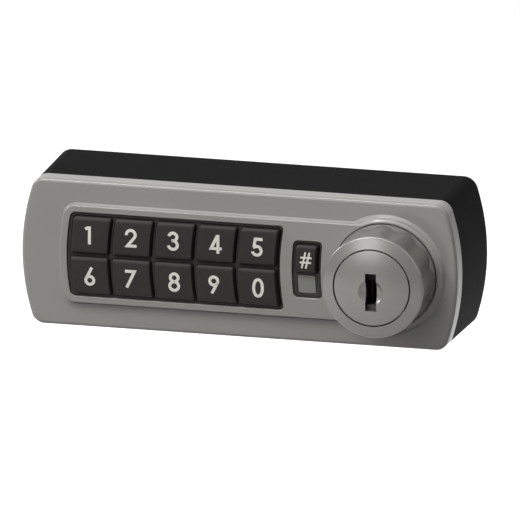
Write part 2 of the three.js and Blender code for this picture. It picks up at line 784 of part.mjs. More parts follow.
// Knob: a fluted grip on a thin round flange, with a hollow shank through the cover.
function knobBody() {
  let knob = turned([
    [discRadius + discGap, discEdgeY],
    [discRadius + discGap + 0.25, discEdgeY - 0.02],
    [knobRadius - 0.35, knobEdgeY - 0.05],
    [knobRadius, knobEdgeY + 0.3],
    [knobFlangeRadius, knobFootY - knobFlange],
    [knobFlangeRadius, knobFootY],
    [shankRadius, knobFootY],
    [shankRadius, rotorY - seat],
    [sleeveRadius + turningGap, rotorY - seat],
    [sleeveRadius + turningGap, discBackY + seat],
    [discRadius + discGap, discBackY + seat],
    [discRadius + discGap, discEdgeY],
  ]);
  for (let i = 0; i < fluteCount; i++) {
    knob = knob.subtract(fluteCutter(((i + 0.5) * 2 * Math.PI) / fluteCount));
  }
  for (const side of [-1, 1]) {
    knob = knob.subtract(bar(rotorScrewRadius + 0.1, rotorY - 5, rotorY, 10, 0, side * rotorScrewPlace));
  }
  return knob;
}

const waferY = (i) => discBackY + 3.4 + i * waferPitch;

// Key plug: the domed disc that faces the user and the barrel that holds the wafers.
function keyPlug() {
  const domeRadius = (discRadius ** 2 + discDome ** 2) / (2 * discDome);
  const dome = countTo(5).map((i) => {
    const r = (discRadius * i) / 4;
    return [r, discEdgeY - discDome + domeRadius - Math.sqrt(domeRadius ** 2 - r ** 2)];
  });
  let plug = turned([
    ...dome,
    [discRadius, discBackY],
    [plugRadius, discBackY],
    [plugRadius, sleeveBackY + seat],
    [plugRadius - 0.9, sleeveBackY + seat],
    [plugRadius - 0.9, sleeveBackY + seat + 1.1],
    [plugRadius, sleeveBackY + seat + 1.1],
    [plugRadius, plugBackY],
    [0, plugBackY],
  ], { segments: boreSegments });
  const mouth = middleSpan(-keywayDrop, keywayHeight);
  const mouthY = [discEdgeY - discDome - 1, discEdgeY - discDome + keywayDepth];
  plug = plug.subtract(box(middleSpan(0, keywayWidth), mouthY, mouth));
  const blade = middleSpan(-keywayDrop / 2, bladeHeight);
  const bladeEndY = waferY(waferCount - 1) + 2;
  plug = plug.subtract(box(middleSpan(0, bladeWidth), [mouthY[0], bladeEndY], blade));
  plug = plug.subtract(keyDish());
  for (let i = 0; i < waferCount; i++) {
    const slot = middleSpan(waferY(i), waferThickness + 0.3);
    const across = middleSpan(0, waferWidth + 0.3);
    plug = plug.subtract(box(across, slot, [-plugRadius - 1, plugRadius + 1]));
  }
  return plug;
}

// The round dish that leads the key into the keyway.
function keyDish() {
  const front = discEdgeY - discDome;
  const bowl = (dishRadius ** 2 + dishDepth ** 2) / (2 * dishDepth);
  const profile = countTo(5).map((i) => {
    const r = (dishRadius * i) / 4;
    return [r, front + dishDepth - bowl + Math.sqrt(bowl ** 2 - r ** 2)];
  });
  const made = turned([...profile, [dishRadius + 0.05, front - 1], [0, front - 1]], { segments: 32 });
  const geometry = geometryOf(made);
  geometry.translate(0, 0, -keywayDrop);
  return solid(geometry);
}

function wafer(i) {
  const middle = waferY(i);
  const depth = middleSpan(middle, waferThickness);
  const plate = box(middleSpan(0, waferWidth), depth, middleSpan(0, waferHeight));
  const opening = middleSpan(-keywayDrop / 2 + (i % 2 ? 0.4 : -0.4), bladeHeight + 1);
  return plate.subtract(box(middleSpan(0, bladeWidth + 0.3), middleSpan(middle, 3), opening));
}

// A flat spring ring with a gap, for a groove.
function clipRing(inner, outer, frontY, backY) {
  return sector(inner, outer, 20, 340, frontY, backY);
}

function cylinderSleeve() {
  return turned([
    [plugRadius + turningGap, discBackY + seat],
    [sleeveRadius, discBackY + seat],
    [sleeveRadius, sleeveBackY],
    [plugRadius + turningGap, sleeveBackY],
    [plugRadius + turningGap, discBackY + seat],
  ], { segments: boreSegments });
}

const squareHalf = camSquare / 2;
const spindleEndY = camY + camThickness - 0.2;

// Rotor: a notched disc on the knob's shank, one piece with the spindle through the door.
function rotorSpindle() {
  let rotor = turned([
    [0, rotorY],
    [rotorRadius, rotorY],
    [rotorRadius, rotorBackY],
    [spindleRadius + 1.6, rotorBackY],
    [spindleRadius + 1.6, rotorBackY + 3],
    [spindleRadius, rotorBackY + 3],
    [spindleRadius, camY],
    [0, camY],
  ]);
  const finger = sector(
    sleeveBore + 0.2,
    sleeveOuter - 0.2,
    fingerRest - fingerAngle / 2,
    fingerRest + fingerAngle / 2,
    rotorY - fingerLength,
    rotorY + 0.5,
  );
  rotor = rotor.add(finger);
  rotor = rotor.add(box([-squareHalf, squareHalf], [camY - 1, spindleEndY], [-squareHalf, squareHalf]));
  const reach = [rotorY - 1, rotorBackY + 1];
  const deep = [-rotorRadius - 1, -rotorRadius + notchDepth];
  const across = middleSpan(0, notchWidth);
  rotor = rotor.subtract(box(deep, reach, across));
  rotor = rotor.subtract(box(across, reach, deep));
  for (const side of [-1, 1]) {
    const z = side * rotorScrewPlace;
    rotor = rotor.subtract(bar(rotorScrewRadius + 0.1, rotorY - 1, rotorBackY + 1, 10, 0, z));
  }
  return rotor.subtract(bar(camScrewRadius + 0.2, camY - camScrewLength, camY + 9, 12));
}

// Cam: a flat blade on the spindle's square, pointing away from the case's near end.
function camBlade() {
  const half = camWidth / 2;
  const tip = -camLength + camTip;
  const outline = [
    ...arcPoints(0, 0, half, -Math.PI / 2, Math.PI / 2, 12),
    ...arcPoints(tip, half - 1.5 - camTip, camTip, Math.PI / 2, Math.PI, 5),
    ...arcPoints(tip, -half + 1.5 + camTip, camTip, Math.PI, 1.5 * Math.PI, 5),
  ];
  const blade = slab(outline, camY, camY + camThickness);
  const hole = squareHalf + 0.15;
  return blade.subtract(box([-hole, hole], [camY - 1, camY + camThickness + 1], [-hole, hole]));
}

addNode(turning, "knob", knobBody(), satinMetal());
addNode(turning, "cylinder_sleeve", cylinderSleeve(), brass());
addNode(turning, "key_plug", keyPlug(), satinMetal());
for (let i = 0; i < waferCount; i++) addNode(turning, "wafer_" + (i + 1), wafer(i), brass());
const clipY = sleeveBackY + seat + 0.15;
const plugClip = clipRing(plugRadius - 0.75, plugRadius + 0.6, clipY, clipY + 0.8);
addNode(turning, "plug_clip", plugClip, steel());
addNode(turning, "rotor_spindle", rotorSpindle(), steel());
[-1, 1].forEach((side, i) => {
  const made = screw(rotorScrewRadius, 1.5, 1, rotorThickness + 4);
  const node = addNode(turning, "rotor_screw_" + (i + 1), made, steel());
  node.position.set(0, rotorBackY + 0.05, side * rotorScrewPlace);
});
addNode(turning, "cam", camBlade(), steel());
const camScrew = screw(camScrewRadius, camScrewHead, camScrewHeight, camScrewLength);
addNode(turning, "cam_screw", camScrew, steel()).position.y = camY + camThickness + 0.1;

// ---- Barrel through the door, with its washer and nut ----

// The barrel's section: a circle with two flats, grown for a hole that takes it.
function barrelSection(grow, frontY, backY) {
  const round = bar(barrelRadius + grow, frontY, backY, boreSegments);
  const flats = middleSpan(0, 2 * (barrelFlat + grow));
  const wide = middleSpan(0, 4 * barrelRadius);
  return round.intersect(box(wide, [frontY - 1, backY + 1], flats));
}

const barrelFlangeY = insideRearY - seat;

function mountBarrel() {
  let barrel = barrelSection(0, barrelFlangeY - 1, barrelLength);
  barrel = barrel.add(bar(barrelRadius + 3, barrelFlangeY - 2, barrelFlangeY, boreSegments));
  return barrel.subtract(bar(spindleRadius + spindleClearance, -10, barrelLength + 1, 24));
}

function mountNut() {
  const corner = nutAcross / 2 / Math.cos(Math.PI / 6);
  const hexagon = arcPoints(0, 0, corner, 0, (5 * Math.PI) / 3, 5);
  const nut = slab(hexagon, nutY, nutY + nutThickness);
  return nut.subtract(bar(barrelRadius + 0.15, nutY - 1, nutY + nutThickness + 1, boreSegments));
}

function mountWasher() {
  const washer = bar(washerRadius, washerY, washerY + washerThickness, boreSegments);
  return washer.subtract(bar(barrelRadius + 0.15, washerY - 1, nutY, boreSegments));
}

const throughDoor = new THREE.Group();
throughDoor.position.x = knobX;
group.add(throughDoor);
addNode(throughDoor, "mount_barrel", mountBarrel(), steel());
addNode(throughDoor, "mount_washer", mountWasher(), steel());
addNode(throughDoor, "mount_nut", mountNut(), steel());

const insertBore = bar(anchorBore, -anchorLength - 1, 1, 10);
const insert = bar(anchorRadius, -anchorLength, 0, 16).subtract(insertBore);
addNode(group, "anchor_insert", insert, brass()).position.set(anchorX, 0, anchorZ);

caseScrewPlaces.forEach(([x, z], i) => {
  const length = -caseScrewSink - (coverInsideY + 0.8);
  const made = screw(caseScrewRadius, caseScrewHead, 2, length);
  addNode(group, "case_screw_" + (i + 1), made, steel()).position.set(x, -caseScrewSink + 0.1, z);
});

// ---- Locking bolt, driven by a motor's lead screw ----

const boltY = rotorY + rotorThickness / 2;
const boltTipX = knobX - rotorRadius - boltGap;
const blockLeft = boltTipX - boltNose - boltBlock;
const screwEndX = boltTipX - boltNose + 1;
const motorRight = blockLeft - bracketEnd - 2 * seat;

// Bolt: a square nose on a block, bored for the lead screw.
function lockingBolt() {
  const slim = middleSpan(0, boltWidth);
  const nose = box([boltTipX - boltNose - 1, boltTipX], middleSpan(boltY, boltWidth), slim);
  const wide = 2 * motorRadius;
  const block = box([blockLeft, boltTipX - boltNose], middleSpan(boltY, wide), middleSpan(0, wide));
  const bore = crossBar(leadScrewRadius + 0.2, blockLeft - 1, screwEndX + 0.5, boltY, 0, 20);
  return block.add(nose).subtract(bore);
}

// Bracket: a channel for the motor and bolt, with a cross wall between them and one for the nose.
function motorBracket() {
  const left = motorRight - motorLength;
  const right = boltTipX - boltNose + boltTravel + seat + bracketEnd;
  const floorY = boltY + motorRadius + seat;
  const halfWidth = motorRadius + seat + bracketWall;
  let bracket = box([left, right], [floorY, floorY + 1.4], middleSpan(0, 2 * halfWidth));
  const wallY = [boltY - motorRadius, floorY + 1];
  const crossWall = middleSpan(0, 2 * halfWidth);
  bracket = bracket.add(box([motorRight + seat, blockLeft - seat], wallY, crossWall));
  bracket = bracket.add(box([right - bracketEnd, right], wallY, crossWall));
  const screwHole = crossBar(leadScrewRadius + seat, motorRight, blockLeft, boltY, 0, 12);
  const noseHole = middleSpan(boltY, boltWidth + 2 * seat);
  const noseHeight = middleSpan(0, boltWidth + 2 * seat);
  bracket = bracket.subtract(screwHole).subtract(box([right - 3, right + 1], noseHole, noseHeight));
  for (const side of [-1, 1]) {
    const wall = middleSpan(side * (halfWidth - bracketWall / 2), bracketWall);
    bracket = bracket.add(box([left, right], [boltY - 2, floorY + 1], wall));
    const post = middleSpan(side * (halfWidth - 1.5), 3);
    bracket = bracket.add(box([left + 2, left + 6], [floorY + 1, insideRearY - seat], post));
    bracket = bracket.add(box([right - 6, right - 2], [floorY + 1, insideRearY - seat], post));
  }
  return bracket;
}

function lockMotor() {
  const left = motorRight - motorLength;
  const can = crossBar(motorRadius, left + 0.1, motorRight, boltY, 0, 20);
  const flat = middleSpan(0, 4 * motorRadius);
  return can.intersect(box([left, motorRight + 1], middleSpan(boltY, 1.8 * motorRadius), flat));
}

addNode(group, "locking_bolt", lockingBolt(), steel());
const lead = crossBar(leadScrewRadius, motorRight + 0.3, screwEndX, boltY, 0, 16);
addNode(group, "lead_screw", lead, brass());
addNode(group, "lock_motor", lockMotor(), steel());
addNode(group, "motor_bracket", motorBracket(), blackPlastic());

// ---- Batteries, their tray and contacts ----

const trayHalfLength = cellLength / 2 + contactRoom + trayWall;
const trayTopZ = cellZ + cellRadius + cellGap + trayWall;

// Tray: an upturned trough over each cell, with walls at both ends.
function batteryTray() {
  const reach = cellReach + cellGap;
  const depth = [cellY - reach - 0.4, cellY + reach + 0.4];
  const length = middleSpan(cellX, 2 * trayHalfLength);
  let tray = box(length, depth, [cellZ - 1, trayTopZ]);
  const inside = middleSpan(cellX, 2 * (trayHalfLength - trayWall));
  for (const side of [-1, 1]) {
    const y = cellY + (side * cellSpacing) / 2;
    const radius = cellRadius + cellGap;
    const arch = arcPoints(y, cellZ, radius, 0, Math.PI, 12);
    arch.push(new THREE.Vector2(y - radius, cellZ - 3), new THREE.Vector2(y + radius, cellZ - 3));
    tray = tray.subtract(lengthwise(arch, ...inside));
  }
  const bridge = box([inside[1] - 1.8, inside[1]], middleSpan(cellY, cellSpacing), [cellZ - 3, cellZ + 4]);
  return tray.subtract(bridge);
}

function cell() {
  const half = cellLength / 2;
  const profile = [
    [0, -half],
    [cellRadius - 0.5, -half],
    [cellRadius, -half + 0.5],
    [cellRadius, half - 1.6],
    [cellRadius - 0.6, half - 1],
    [1.9, half - 1],
    [1.9, half],
    [0, half],
  ];
  const geometry = geometryOf(turned(profile, { segments: 20 }));
  geometry.rotateZ(-Math.PI / 2);
  return solid(geometry);
}

// A sprung plate against one end of a cell, or across both, with a raised middle.
function contact(side, y, width) {
  const endX = cellX + side * (trayHalfLength - trayWall - 0.1);
  const middleX = endX - (side * contactSheet) / 2;
  const tipX = cellX + side * (cellLength / 2 + seat);
  const up = middleSpan(cellZ, contactHeight);
  const plate = box(middleSpan(middleX, contactSheet), middleSpan(y, width), up);
  const reach = [Math.min(tipX, middleX), Math.max(tipX, middleX)];
  const rib = box(reach, middleSpan(y, width - contactWidth / 2), middleSpan(cellZ, contactHeight / 3));
  return plate.add(rib);
}

addNode(group, "battery_tray", batteryTray(), blackPlastic());
[-1, 1].forEach((side, i) => {
  const node = addNode(group, "battery_" + (i + 1), cell(), finish(0x3a5f8a, 0.4, 0.3));
  node.position.set(cellX, cellY + (side * cellSpacing) / 2, cellZ);
  node.rotation.y = side > 0 ? Math.PI : 0;
});
addNode(group, "contact_front", contact(-1, cellY - cellSpacing / 2, contactWidth), steel());
addNode(group, "contact_rear", contact(-1, cellY + cellSpacing / 2, contactWidth), steel());
addNode(group, "contact_bridge", contact(1, cellY, cellSpacing + contactWidth), steel());

const lidScrew = addNode(group, "lid_screw", screw(1, 2, 0.8, 4.5), steel());
lidScrew.position.set(lidScrewX, cellY, lidSeatZ);
lidScrew.rotation.x = -Math.PI / 2;

export default group;
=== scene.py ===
# Looks for a keypad lock: a metal cover with ten keys and a turning knob, on a moulded housing.
# Shapes are worked out in millimetres in the frame's own axes: X along the case, Z up, front to -Y.
import bmesh
import bpy
import math
import numpy as np
from mathutils import Matrix, Vector


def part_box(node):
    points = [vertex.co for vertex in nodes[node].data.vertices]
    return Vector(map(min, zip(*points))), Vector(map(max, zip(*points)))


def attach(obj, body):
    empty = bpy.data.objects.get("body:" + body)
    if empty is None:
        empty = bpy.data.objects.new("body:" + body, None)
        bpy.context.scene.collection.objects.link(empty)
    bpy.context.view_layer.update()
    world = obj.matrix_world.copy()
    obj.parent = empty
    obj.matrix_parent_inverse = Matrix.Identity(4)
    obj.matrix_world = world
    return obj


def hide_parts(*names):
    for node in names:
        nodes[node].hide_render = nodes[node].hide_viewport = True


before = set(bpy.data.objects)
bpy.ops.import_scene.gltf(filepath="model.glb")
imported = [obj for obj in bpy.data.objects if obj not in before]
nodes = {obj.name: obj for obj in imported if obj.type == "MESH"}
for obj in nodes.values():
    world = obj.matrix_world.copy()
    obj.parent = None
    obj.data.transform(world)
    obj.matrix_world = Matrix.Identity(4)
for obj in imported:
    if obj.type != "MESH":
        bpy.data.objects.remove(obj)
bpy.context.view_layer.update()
mm = 0.001  # one millimetre in metres
hair = 0.004  # a cutter passes a face by this much, so that no two faces coincide
print("frame loaded with", len(nodes), "CAD nodes")


def ends(node):
    # lowest and highest corner of a CAD node, in millimetres
    low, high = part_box(node)
    return np.array(low) / mm, np.array(high) / mm


def middle(node):
    low, high = ends(node)
    return (low + high) / 2


coverLow, coverHigh = ends("front_cover")
housingLow, housingHigh = ends("rear_housing")
keyLow, keyHigh = ends("key_1")

caseShape = {
    "width": coverHigh[0] - coverLow[0],
    "height": coverHigh[2] - coverLow[2],
    "endRadius": 64.5,  # both ends, and the keypad's upright edges, are arcs of this radius
    "corner": 4.0,
    "panelRise": 1.4,
    "frontFillet": 1.2,
}
panelY = coverLow[1]
faceY = panelY + caseShape["panelRise"]
jointY = housingLow[1]
keyFrontY = keyLow[1]
keyBackY = keyHigh[1]
knobX = middle("knob")[0]
keypadZ = 0.15


def fullTurn(count):
    # angles once round, in radians
    return np.linspace(0, 2 * np.pi, count, endpoint=False)


def arc(x, z, radius, start, stop, steps):
    # points on a circle between two angles in degrees
    angle = np.radians(np.linspace(start, stop, steps + 1))
    return np.stack([x + radius * np.cos(angle), z + radius * np.sin(angle)], 1)


def oval(x, z, halfWidth, halfHeight, start, stop, steps=40, power=2.0):
    # an arc of an ellipse; a power above 2 squares its shoulders
    angle = np.radians(np.linspace(start, stop, steps + 1))
    across = np.sign(np.cos(angle)) * np.abs(np.cos(angle)) ** (2 / power)
    up = np.sign(np.sin(angle)) * np.abs(np.sin(angle)) ** (2 / power)
    return np.stack([x + halfWidth * across, z + halfHeight * up], 1)


def softened(corners, steps=6):
    # each corner (a, b, cut) becomes a short parabola from its cut before the corner to its cut behind it
    points = np.array([corner[:2] for corner in corners], float)
    cuts = [corner[2] if len(corner) > 2 else 0 for corner in corners]
    t = np.linspace(0, 1, steps + 1)[:, None]
    parts = []
    for before, corner, after, cut in zip(np.roll(points, 1, 0), points, np.roll(points, -1, 0), cuts):
        if not cut:
            parts.append(corner[None])
            continue
        start = corner + (before - corner) * cut / np.linalg.norm(before - corner)
        stop = corner + (after - corner) * cut / np.linalg.norm(after - corner)
        parts.append((1 - t) ** 2 * start + 2 * t * (1 - t) * corner + t ** 2 * stop)
    return np.vstack(parts)


def caseOutline(grow):
    # two end arcs and four corner arcs, each tangent to the next, and flat top and bottom
    end = caseShape["endRadius"] + grow
    corner = caseShape["corner"] + grow
    halfHeight = caseShape["height"] / 2 + grow
    endX = caseShape["width"] / 2 + grow - end
    cornerZ = halfHeight - corner
    cornerX = endX + math.sqrt((end - corner) ** 2 - cornerZ ** 2)
    turn = math.degrees(math.atan2(cornerZ, cornerX - endX))
    right = np.vstack([
        arc(cornerX, -cornerZ, corner, -90, -turn, 12),
        arc(endX, 0, end, -turn, turn, 28)[1:-1],
        arc(cornerX, cornerZ, corner, turn, 90, 12),
    ])
    return np.vstack([right, -right])


def bow(z):
    # how far an upright keypad edge lies to the right at height z, on an arc of the ends' radius
    radius = caseShape["endRadius"]
    return radius - np.sqrt(radius ** 2 - (z - keypadZ) ** 2)


def bowed(x, z, width, height, corner, grow=0.0, sideSteps=14, cornerSteps=8):
    # a rounded rectangle whose two upright sides bow to the left together
    halfWidth = width / 2 + grow
    halfHeight = height / 2 + grow
    radius = max(corner + grow, 0.12)
    sideX = halfWidth - radius
    sideZ = halfHeight - radius
    side = np.linspace(-sideZ, sideZ, sideSteps + 1)[1:-1]
    points = np.vstack([
        arc(sideX, -sideZ, radius, -90, 0, cornerSteps),
        np.stack([np.full_like(side, halfWidth), side], 1),
        arc(sideX, sideZ, radius, 0, 90, cornerSteps),
        arc(-sideX, sideZ, radius, 90, 180, cornerSteps),
        np.stack([np.full_like(side, -halfWidth), -side], 1),
        arc(-sideX, -sideZ, radius, 180, 270, cornerSteps),
    ])
    return np.stack([x + points[:, 0] + bow(z + points[:, 1]), z + points[:, 1]], 1)


def outlineOf(place, corner):
    # the bowed outline of a place (x, z, width, height) as a function of its growth
    return lambda grow: bowed(*place, corner, grow)


def placeOf(node, corner, lip=0.0):
    # x, z, width and height of a bowed node, without the bow between its corners and without its lip
    low, high = ends(node)
    z = (low[2] + high[2]) / 2
    reach = (high[2] - low[2]) / 2 - corner - lip
    upper, lower = bow(z + reach), bow(z - reach)
    x = (low[0] + high[0] - upper - lower) / 2
    return x, z, high[0] - low[0] - abs(upper - lower) - 2 * lip, high[2] - low[2] - 2 * lip


def gridFaces(rows, columns, wrapRows=False):
    # quads between neighbouring rows of points; the columns join round
    row = np.arange(rows if wrapRows else rows - 1)[:, None]
    column = np.arange(columns)[None, :]
    below, beside = (row + 1) % rows, (column + 1) % columns
    corners = [row * columns + column, below * columns + column, below * columns + beside, row * columns + beside]
    return np.stack(np.broadcast_arrays(*corners), -1).reshape(-1, 4)


def addMesh(name, points, faces):
    mesh = bpy.data.meshes.new(name)
    mesh.from_pydata((np.asarray(points, float).reshape(-1, 3) * mm).tolist(), [], faces)
    piece = bpy.data.objects.new(name, mesh)
    bpy.context.scene.collection.objects.link(piece)
    return piece


def weld(piece):
    # points that share a place become one, which closes poles
    work = bmesh.new()
    work.from_mesh(piece.data)
    bmesh.ops.remove_doubles(work, verts=work.verts, dist=2e-7)
    work.to_mesh(piece.data)
    work.free()
    return piece


def loft(name, outlines, levels, upwards=False):
    # a skin over outlines of equal count, each at its level along Y (or Z when upwards), with flat ends
    outlines = np.asarray(outlines)
    if upwards:
        outlines = outlines[:, ::-1]
    rings, count = outlines.shape[:2]
    points = np.empty((rings, count, 3))
    points[..., 0] = outlines[..., 0]
    points[..., 2 if upwards else 1] = np.reshape(levels, (rings, -1))
    points[..., 1 if upwards else 2] = outlines[..., 1]
    faces = gridFaces(rings, count).tolist()
    faces.append(list(range(count)))
    faces.append(list(range(rings * count - 1, (rings - 1) * count - 1, -1)))
    return addMesh(name, points, faces)


def drawn(name, outline, profile, steps=6):
    # an outline carried along Y and grown by a profile of (grow, y), with its corners softened
    profile = softened(profile, steps)
    return loft(name, [outline(grow) for grow, _ in profile], [y for _, y in profile])


def spun(name, bands, x=0.0, z=0.0, columns=96):
    # a skin round the Y axis; a band is a list of (radius, y), or radii over rows and angles with the rows' levels
    pairs = [band if isinstance(band, tuple) else np.hsplit(np.array(band, float), 2) for band in bands]
    radius = np.vstack([rows * np.ones(columns) for rows, _ in pairs])
    angle = fullTurn(columns)
    points = np.empty((*radius.shape, 3))
    points[..., 0] = x + radius * np.cos(angle)
    points[..., 1] = np.vstack([np.reshape(level, (-1, 1)) for _, level in pairs])
    points[..., 2] = z + radius * np.sin(angle)
    return weld(addMesh(name, points, gridFaces(len(radius), columns, wrapRows=radius[0, 0] > 0).tolist()))


def turned(name, profile, x=0.0, z=0.0, columns=96):
    # a profile of (radius, y), with its corners softened, carried round the Y axis through x and z
    return spun(name, [softened(profile)], x, z, columns)


def bar(radius, frontY, backY, x=0.0, z=0.0, columns=48):
    return turned("bar", [(0, frontY), (radius, frontY), (radius, backY), (0, backY)], x, z, columns)


def block(low, high):
    # a box between two corners
    (x0, y0, z0), (x1, y1, z1) = low, high
    outline = np.array([(x0, z0), (x1, z0), (x1, z1), (x0, z1)], float)
    return loft("block", [outline, outline], [y0, y1])


def combine(piece, others, operation="DIFFERENCE"):
    # cuts the others from the piece, or joins them to it, and removes them
    for other in others:
        modifier = piece.modifiers.new(operation.lower(), "BOOLEAN")
        modifier.operation = operation
        modifier.solver = "MANIFOLD"
        modifier.object = other
        with bpy.context.temp_override(object=piece, active_object=piece):
            bpy.ops.object.modifier_apply(modifier=modifier.name)
        bpy.data.objects.remove(other)
    return piece


def finishPiece(piece, name, body, material, stands=(), sharp=34):
    # smooth shading up to a sharp angle with flat flats, then the finish and body, and the CAD nodes it stands for
    # hidden
    piece.name = name
    piece.data.name = name
    piece.data.shade_smooth()
    piece.data.set_sharp_from_angle(angle=math.radians(sharp))
    weighted = piece.modifiers.new("flats", "WEIGHTED_NORMAL")
    weighted.keep_sharp = True
    piece.data.materials.clear()
    piece.data.materials.append(material)
    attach(piece, body)
    if stands:
        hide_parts(*stands)


def linear(colour):
    # an sRGB hex colour as the linear red, green, blue and alpha that the shader takes
    channels = np.array([int(colour[i:i + 2], 16) for i in (1, 3, 5)]) / 255
    return (*np.where(channels <= 0.04045, channels / 12.92, ((channels + 0.055) / 1.055) ** 2.4), 1.0)


def addNode(tree, kind, settings=None, links=None):
    # a shader node with its settings (properties or input values) and the outputs linked to its inputs
    node = tree.nodes.new("ShaderNode" + kind)
    for name, value in (settings or {}).items():
        if name == "stops":
            ramp = node.color_ramp.elements
            while len(ramp) < len(value):
                ramp.new(0.5)
            for element, (position, colour) in zip(ramp, value):
                element.position, element.color = position, colour
        elif isinstance(name, int) or name in node.inputs:
            node.inputs[name].default_value = value
        else:
            setattr(node, name, value)
    for name, (source, output) in (links or {}).items():
        tree.links.new(source.outputs[output], node.inputs[name])
    return node


def emptyTree(owner):
    # the cleared node tree of a material or world
    owner.use_nodes = True
    owner.node_tree.nodes.clear()
    return owner.node_tree


def newMaterial(name, shader, tones, spread, pattern, roughness, bump, relief):
    # the pattern gives two nodes: one whose ramp is the colour, and a grain for the roughness and the height
    material = bpy.data.materials.new(name)
    tree = emptyTree(material)
    surface = addNode(tree, "BsdfPrincipled", shader)
    addNode(tree, "OutputMaterial", links={"Surface": (surface, "BSDF")})
    tone, grain = pattern(tree, {"Vector": (addNode(tree, "TexCoord"), "Object")})
    stops = [(place, linear(colour)) for place, colour in zip((0.5 - spread, 0.5 + spread), tones)]
    colour = addNode(tree, "ValToRGB", {"stops": stops}, {"Fac": (tone, 0)})
    gloss = addNode(tree, "MapRange", {"To Min": roughness[0], "To Max": roughness[1]}, {"Value": (grain, 0)})
    height = addNode(tree, "Bump", {"Strength": bump, "Distance": relief * mm}, {"Height": (grain, 0)})
    for source, target in ((colour, "Base Color"), (gloss, "Roughness"), (height, "Normal")):
        tree.links.new(source.outputs[0], surface.inputs[target])
    return material


def mottled(name, dark, light, grain, shader, roughness=(0.4, 0.5), bump=0.1, patch=18.0, relief=0.02):
    # colour drifts between two tones over patches, and a fine grain moves the roughness and the surface
    def pattern(tree, place):
        drift = addNode(tree, "TexNoise", {"Scale": 1 / (patch * mm), "Detail": 3.0}, place)
        return drift, addNode(tree, "TexNoise", {"Scale": 1 / (grain * mm), "Detail": 2.0}, place)

    return newMaterial(name, shader, (dark, light), 0.2, pattern, roughness, bump, relief)


def streaked(name, dark, light, streak, shader, roughness=(0.25, 0.4)):
    # tool or rolling marks: a noise drawn out to the streak's size along X, Y and Z, in millimetres
    def pattern(tree, place):
        stretch = addNode(tree, "Mapping", {"Scale": [1 / (size * mm) for size in streak]}, place)
        marks = addNode(tree, "TexNoise", {"Scale": 1.0, "Detail": 4.0}, {"Vector": (stretch, "Vector")})
        return marks, marks

    return newMaterial(name, shader, (dark, light), 0.2, pattern, roughness, bump=0.1, relief=0.01)


def spangled(name, dark, light, grain, shader, roughness=(0.28, 0.45), bump=0.06):
    # plated crystals: cells of slightly different tone and gloss, each about one grain wide
    def pattern(tree, place):
        cells = addNode(tree, "TexVoronoi", {"Scale": 1 / (grain * mm)}, place)
        value = addNode(tree, "RGBToBW", links={"Color": (cells, "Color")})
        return value, value

    return newMaterial(name, shader, (dark, light), 0.3, pattern, roughness, bump, relief=0.01)


specular = "Specular IOR Level"
# Die-cast zinc under satin lacquer: even mid grey with soft broad highlights.
silverLacquer = mottled("satinSilverLacquer", "#73726e", "#787773", 0.35,
    {specular: 0.15, "Coat Weight": 0.4, "Coat Roughness": 0.13},
    roughness=(0.3, 0.36), bump=0.04, patch=40)
# Moulded ABS with a spark-eroded texture: black and dull at every angle.
blackAbs = mottled("texturedBlackAbs", "#060606", "#090909", 0.45,
    {specular: 0.015}, roughness=(0.5, 0.62), bump=0.35, patch=25)
# ABS key caps polished by fingers: dark warm grey with a soft sheen.
keyAbs = mottled("mouldedKeyAbs", "#211f1e", "#252322", 0.3,
    {specular: 0.12}, roughness=(0.42, 0.52), bump=0.08, patch=6)
# Pad-printed epoxy ink: warm white, slightly uneven in tone.
legendInk = mottled("padPrintedWhiteInk", "#c2c1b8", "#c9c8bf", 0.2,
    {specular: 0.15}, roughness=(0.5, 0.6), bump=0.1, patch=1.5, relief=0.005)
# Black ABS frame, smooth from a polished tool.
frameAbs = mottled("smoothBlackAbs", "#282623", "#2c2a27", 0.3,
    {specular: 0.12}, roughness=(0.35, 0.45), bump=0.05, patch=8)
# Smoked polycarbonate lens: flat grey with a faint gloss.
windowPc = mottled("smokedPolycarbonate", "#696965", "#6f6f6b", 0.4,
    {specular: 0.2}, roughness=(0.28, 0.34), bump=0.02, patch=5)
# Moulded silicone rubber: matt black with a dusty grain.
siliconeRubber = mottled("mouldedSiliconeRubber", "#2b2a28", "#32312f", 0.25,
    {"IOR": 1.42, specular: 0.1}, roughness=(0.7, 0.85), bump=0.2, patch=5)
# Turned zinc under satin nickel: a soft sheen that follows the rounding.
satinNickel = mottled("satinNickelPlate", "#696866", "#6f6e6b", 0.3,
    {"Metallic": 0.4, specular: 0.25, "Coat Weight": 0.15, "Coat Roughness": 0.22},
    roughness=(0.27, 0.31), bump=0.04, patch=20)
# The same zinc inside the keyway, painted nearly black with a violet cast for the shade that fills it.
keywayPaintedShade = mottled("tarnishedZincKeyway", "#0d0b0e", "#15121a", 0.3,
    {specular: 0.1}, roughness=(0.6, 0.75), bump=0.1, patch=2)
# The lowest step of the keyway: zinc painted dull dark grey for the shade that falls on it.
keywayStepPaintedShade = mottled("dulledZincKeyway", "#383735", "#454341", 0.3,
    {specular: 0.2}, roughness=(0.5, 0.6), bump=0.03, patch=6)
print("front materials ready")


keypad = {
    "panelLeft": -53.4, "panelHalfHeight": 14.3, "panelCorner": 2.6,
    "window": (-19.54, keypadZ, 64.15, 25.2), "slot": (20.49, 0.2, 8.6, 17.1),  # x, z, width and height
    "openingCorner": 1.35,
    "bayMargin": 1.6, "bayCorner": 1.5,  # the hollow behind the panel, round window and slot
    "mouthFillet": 0.3, "mouthFlare": 0.8,
    "rimRecess": 0.5,  # the black frame's rim lies this far below the panel
    "flange": (2.1, 3.2),  # and its flange between these depths below it
    "keyGap": 0.25, "lensGap": 0.1,
    "webDepth": 1.25,  # the mat's web stands this far behind the keys' fronts
    "travel": 0.84,  # the mat leaves each key this much room behind it
    "matThickness": 1.0, "bossInset": 1.6, "bossWall": 1.2, "bossFront": 0.8,
}
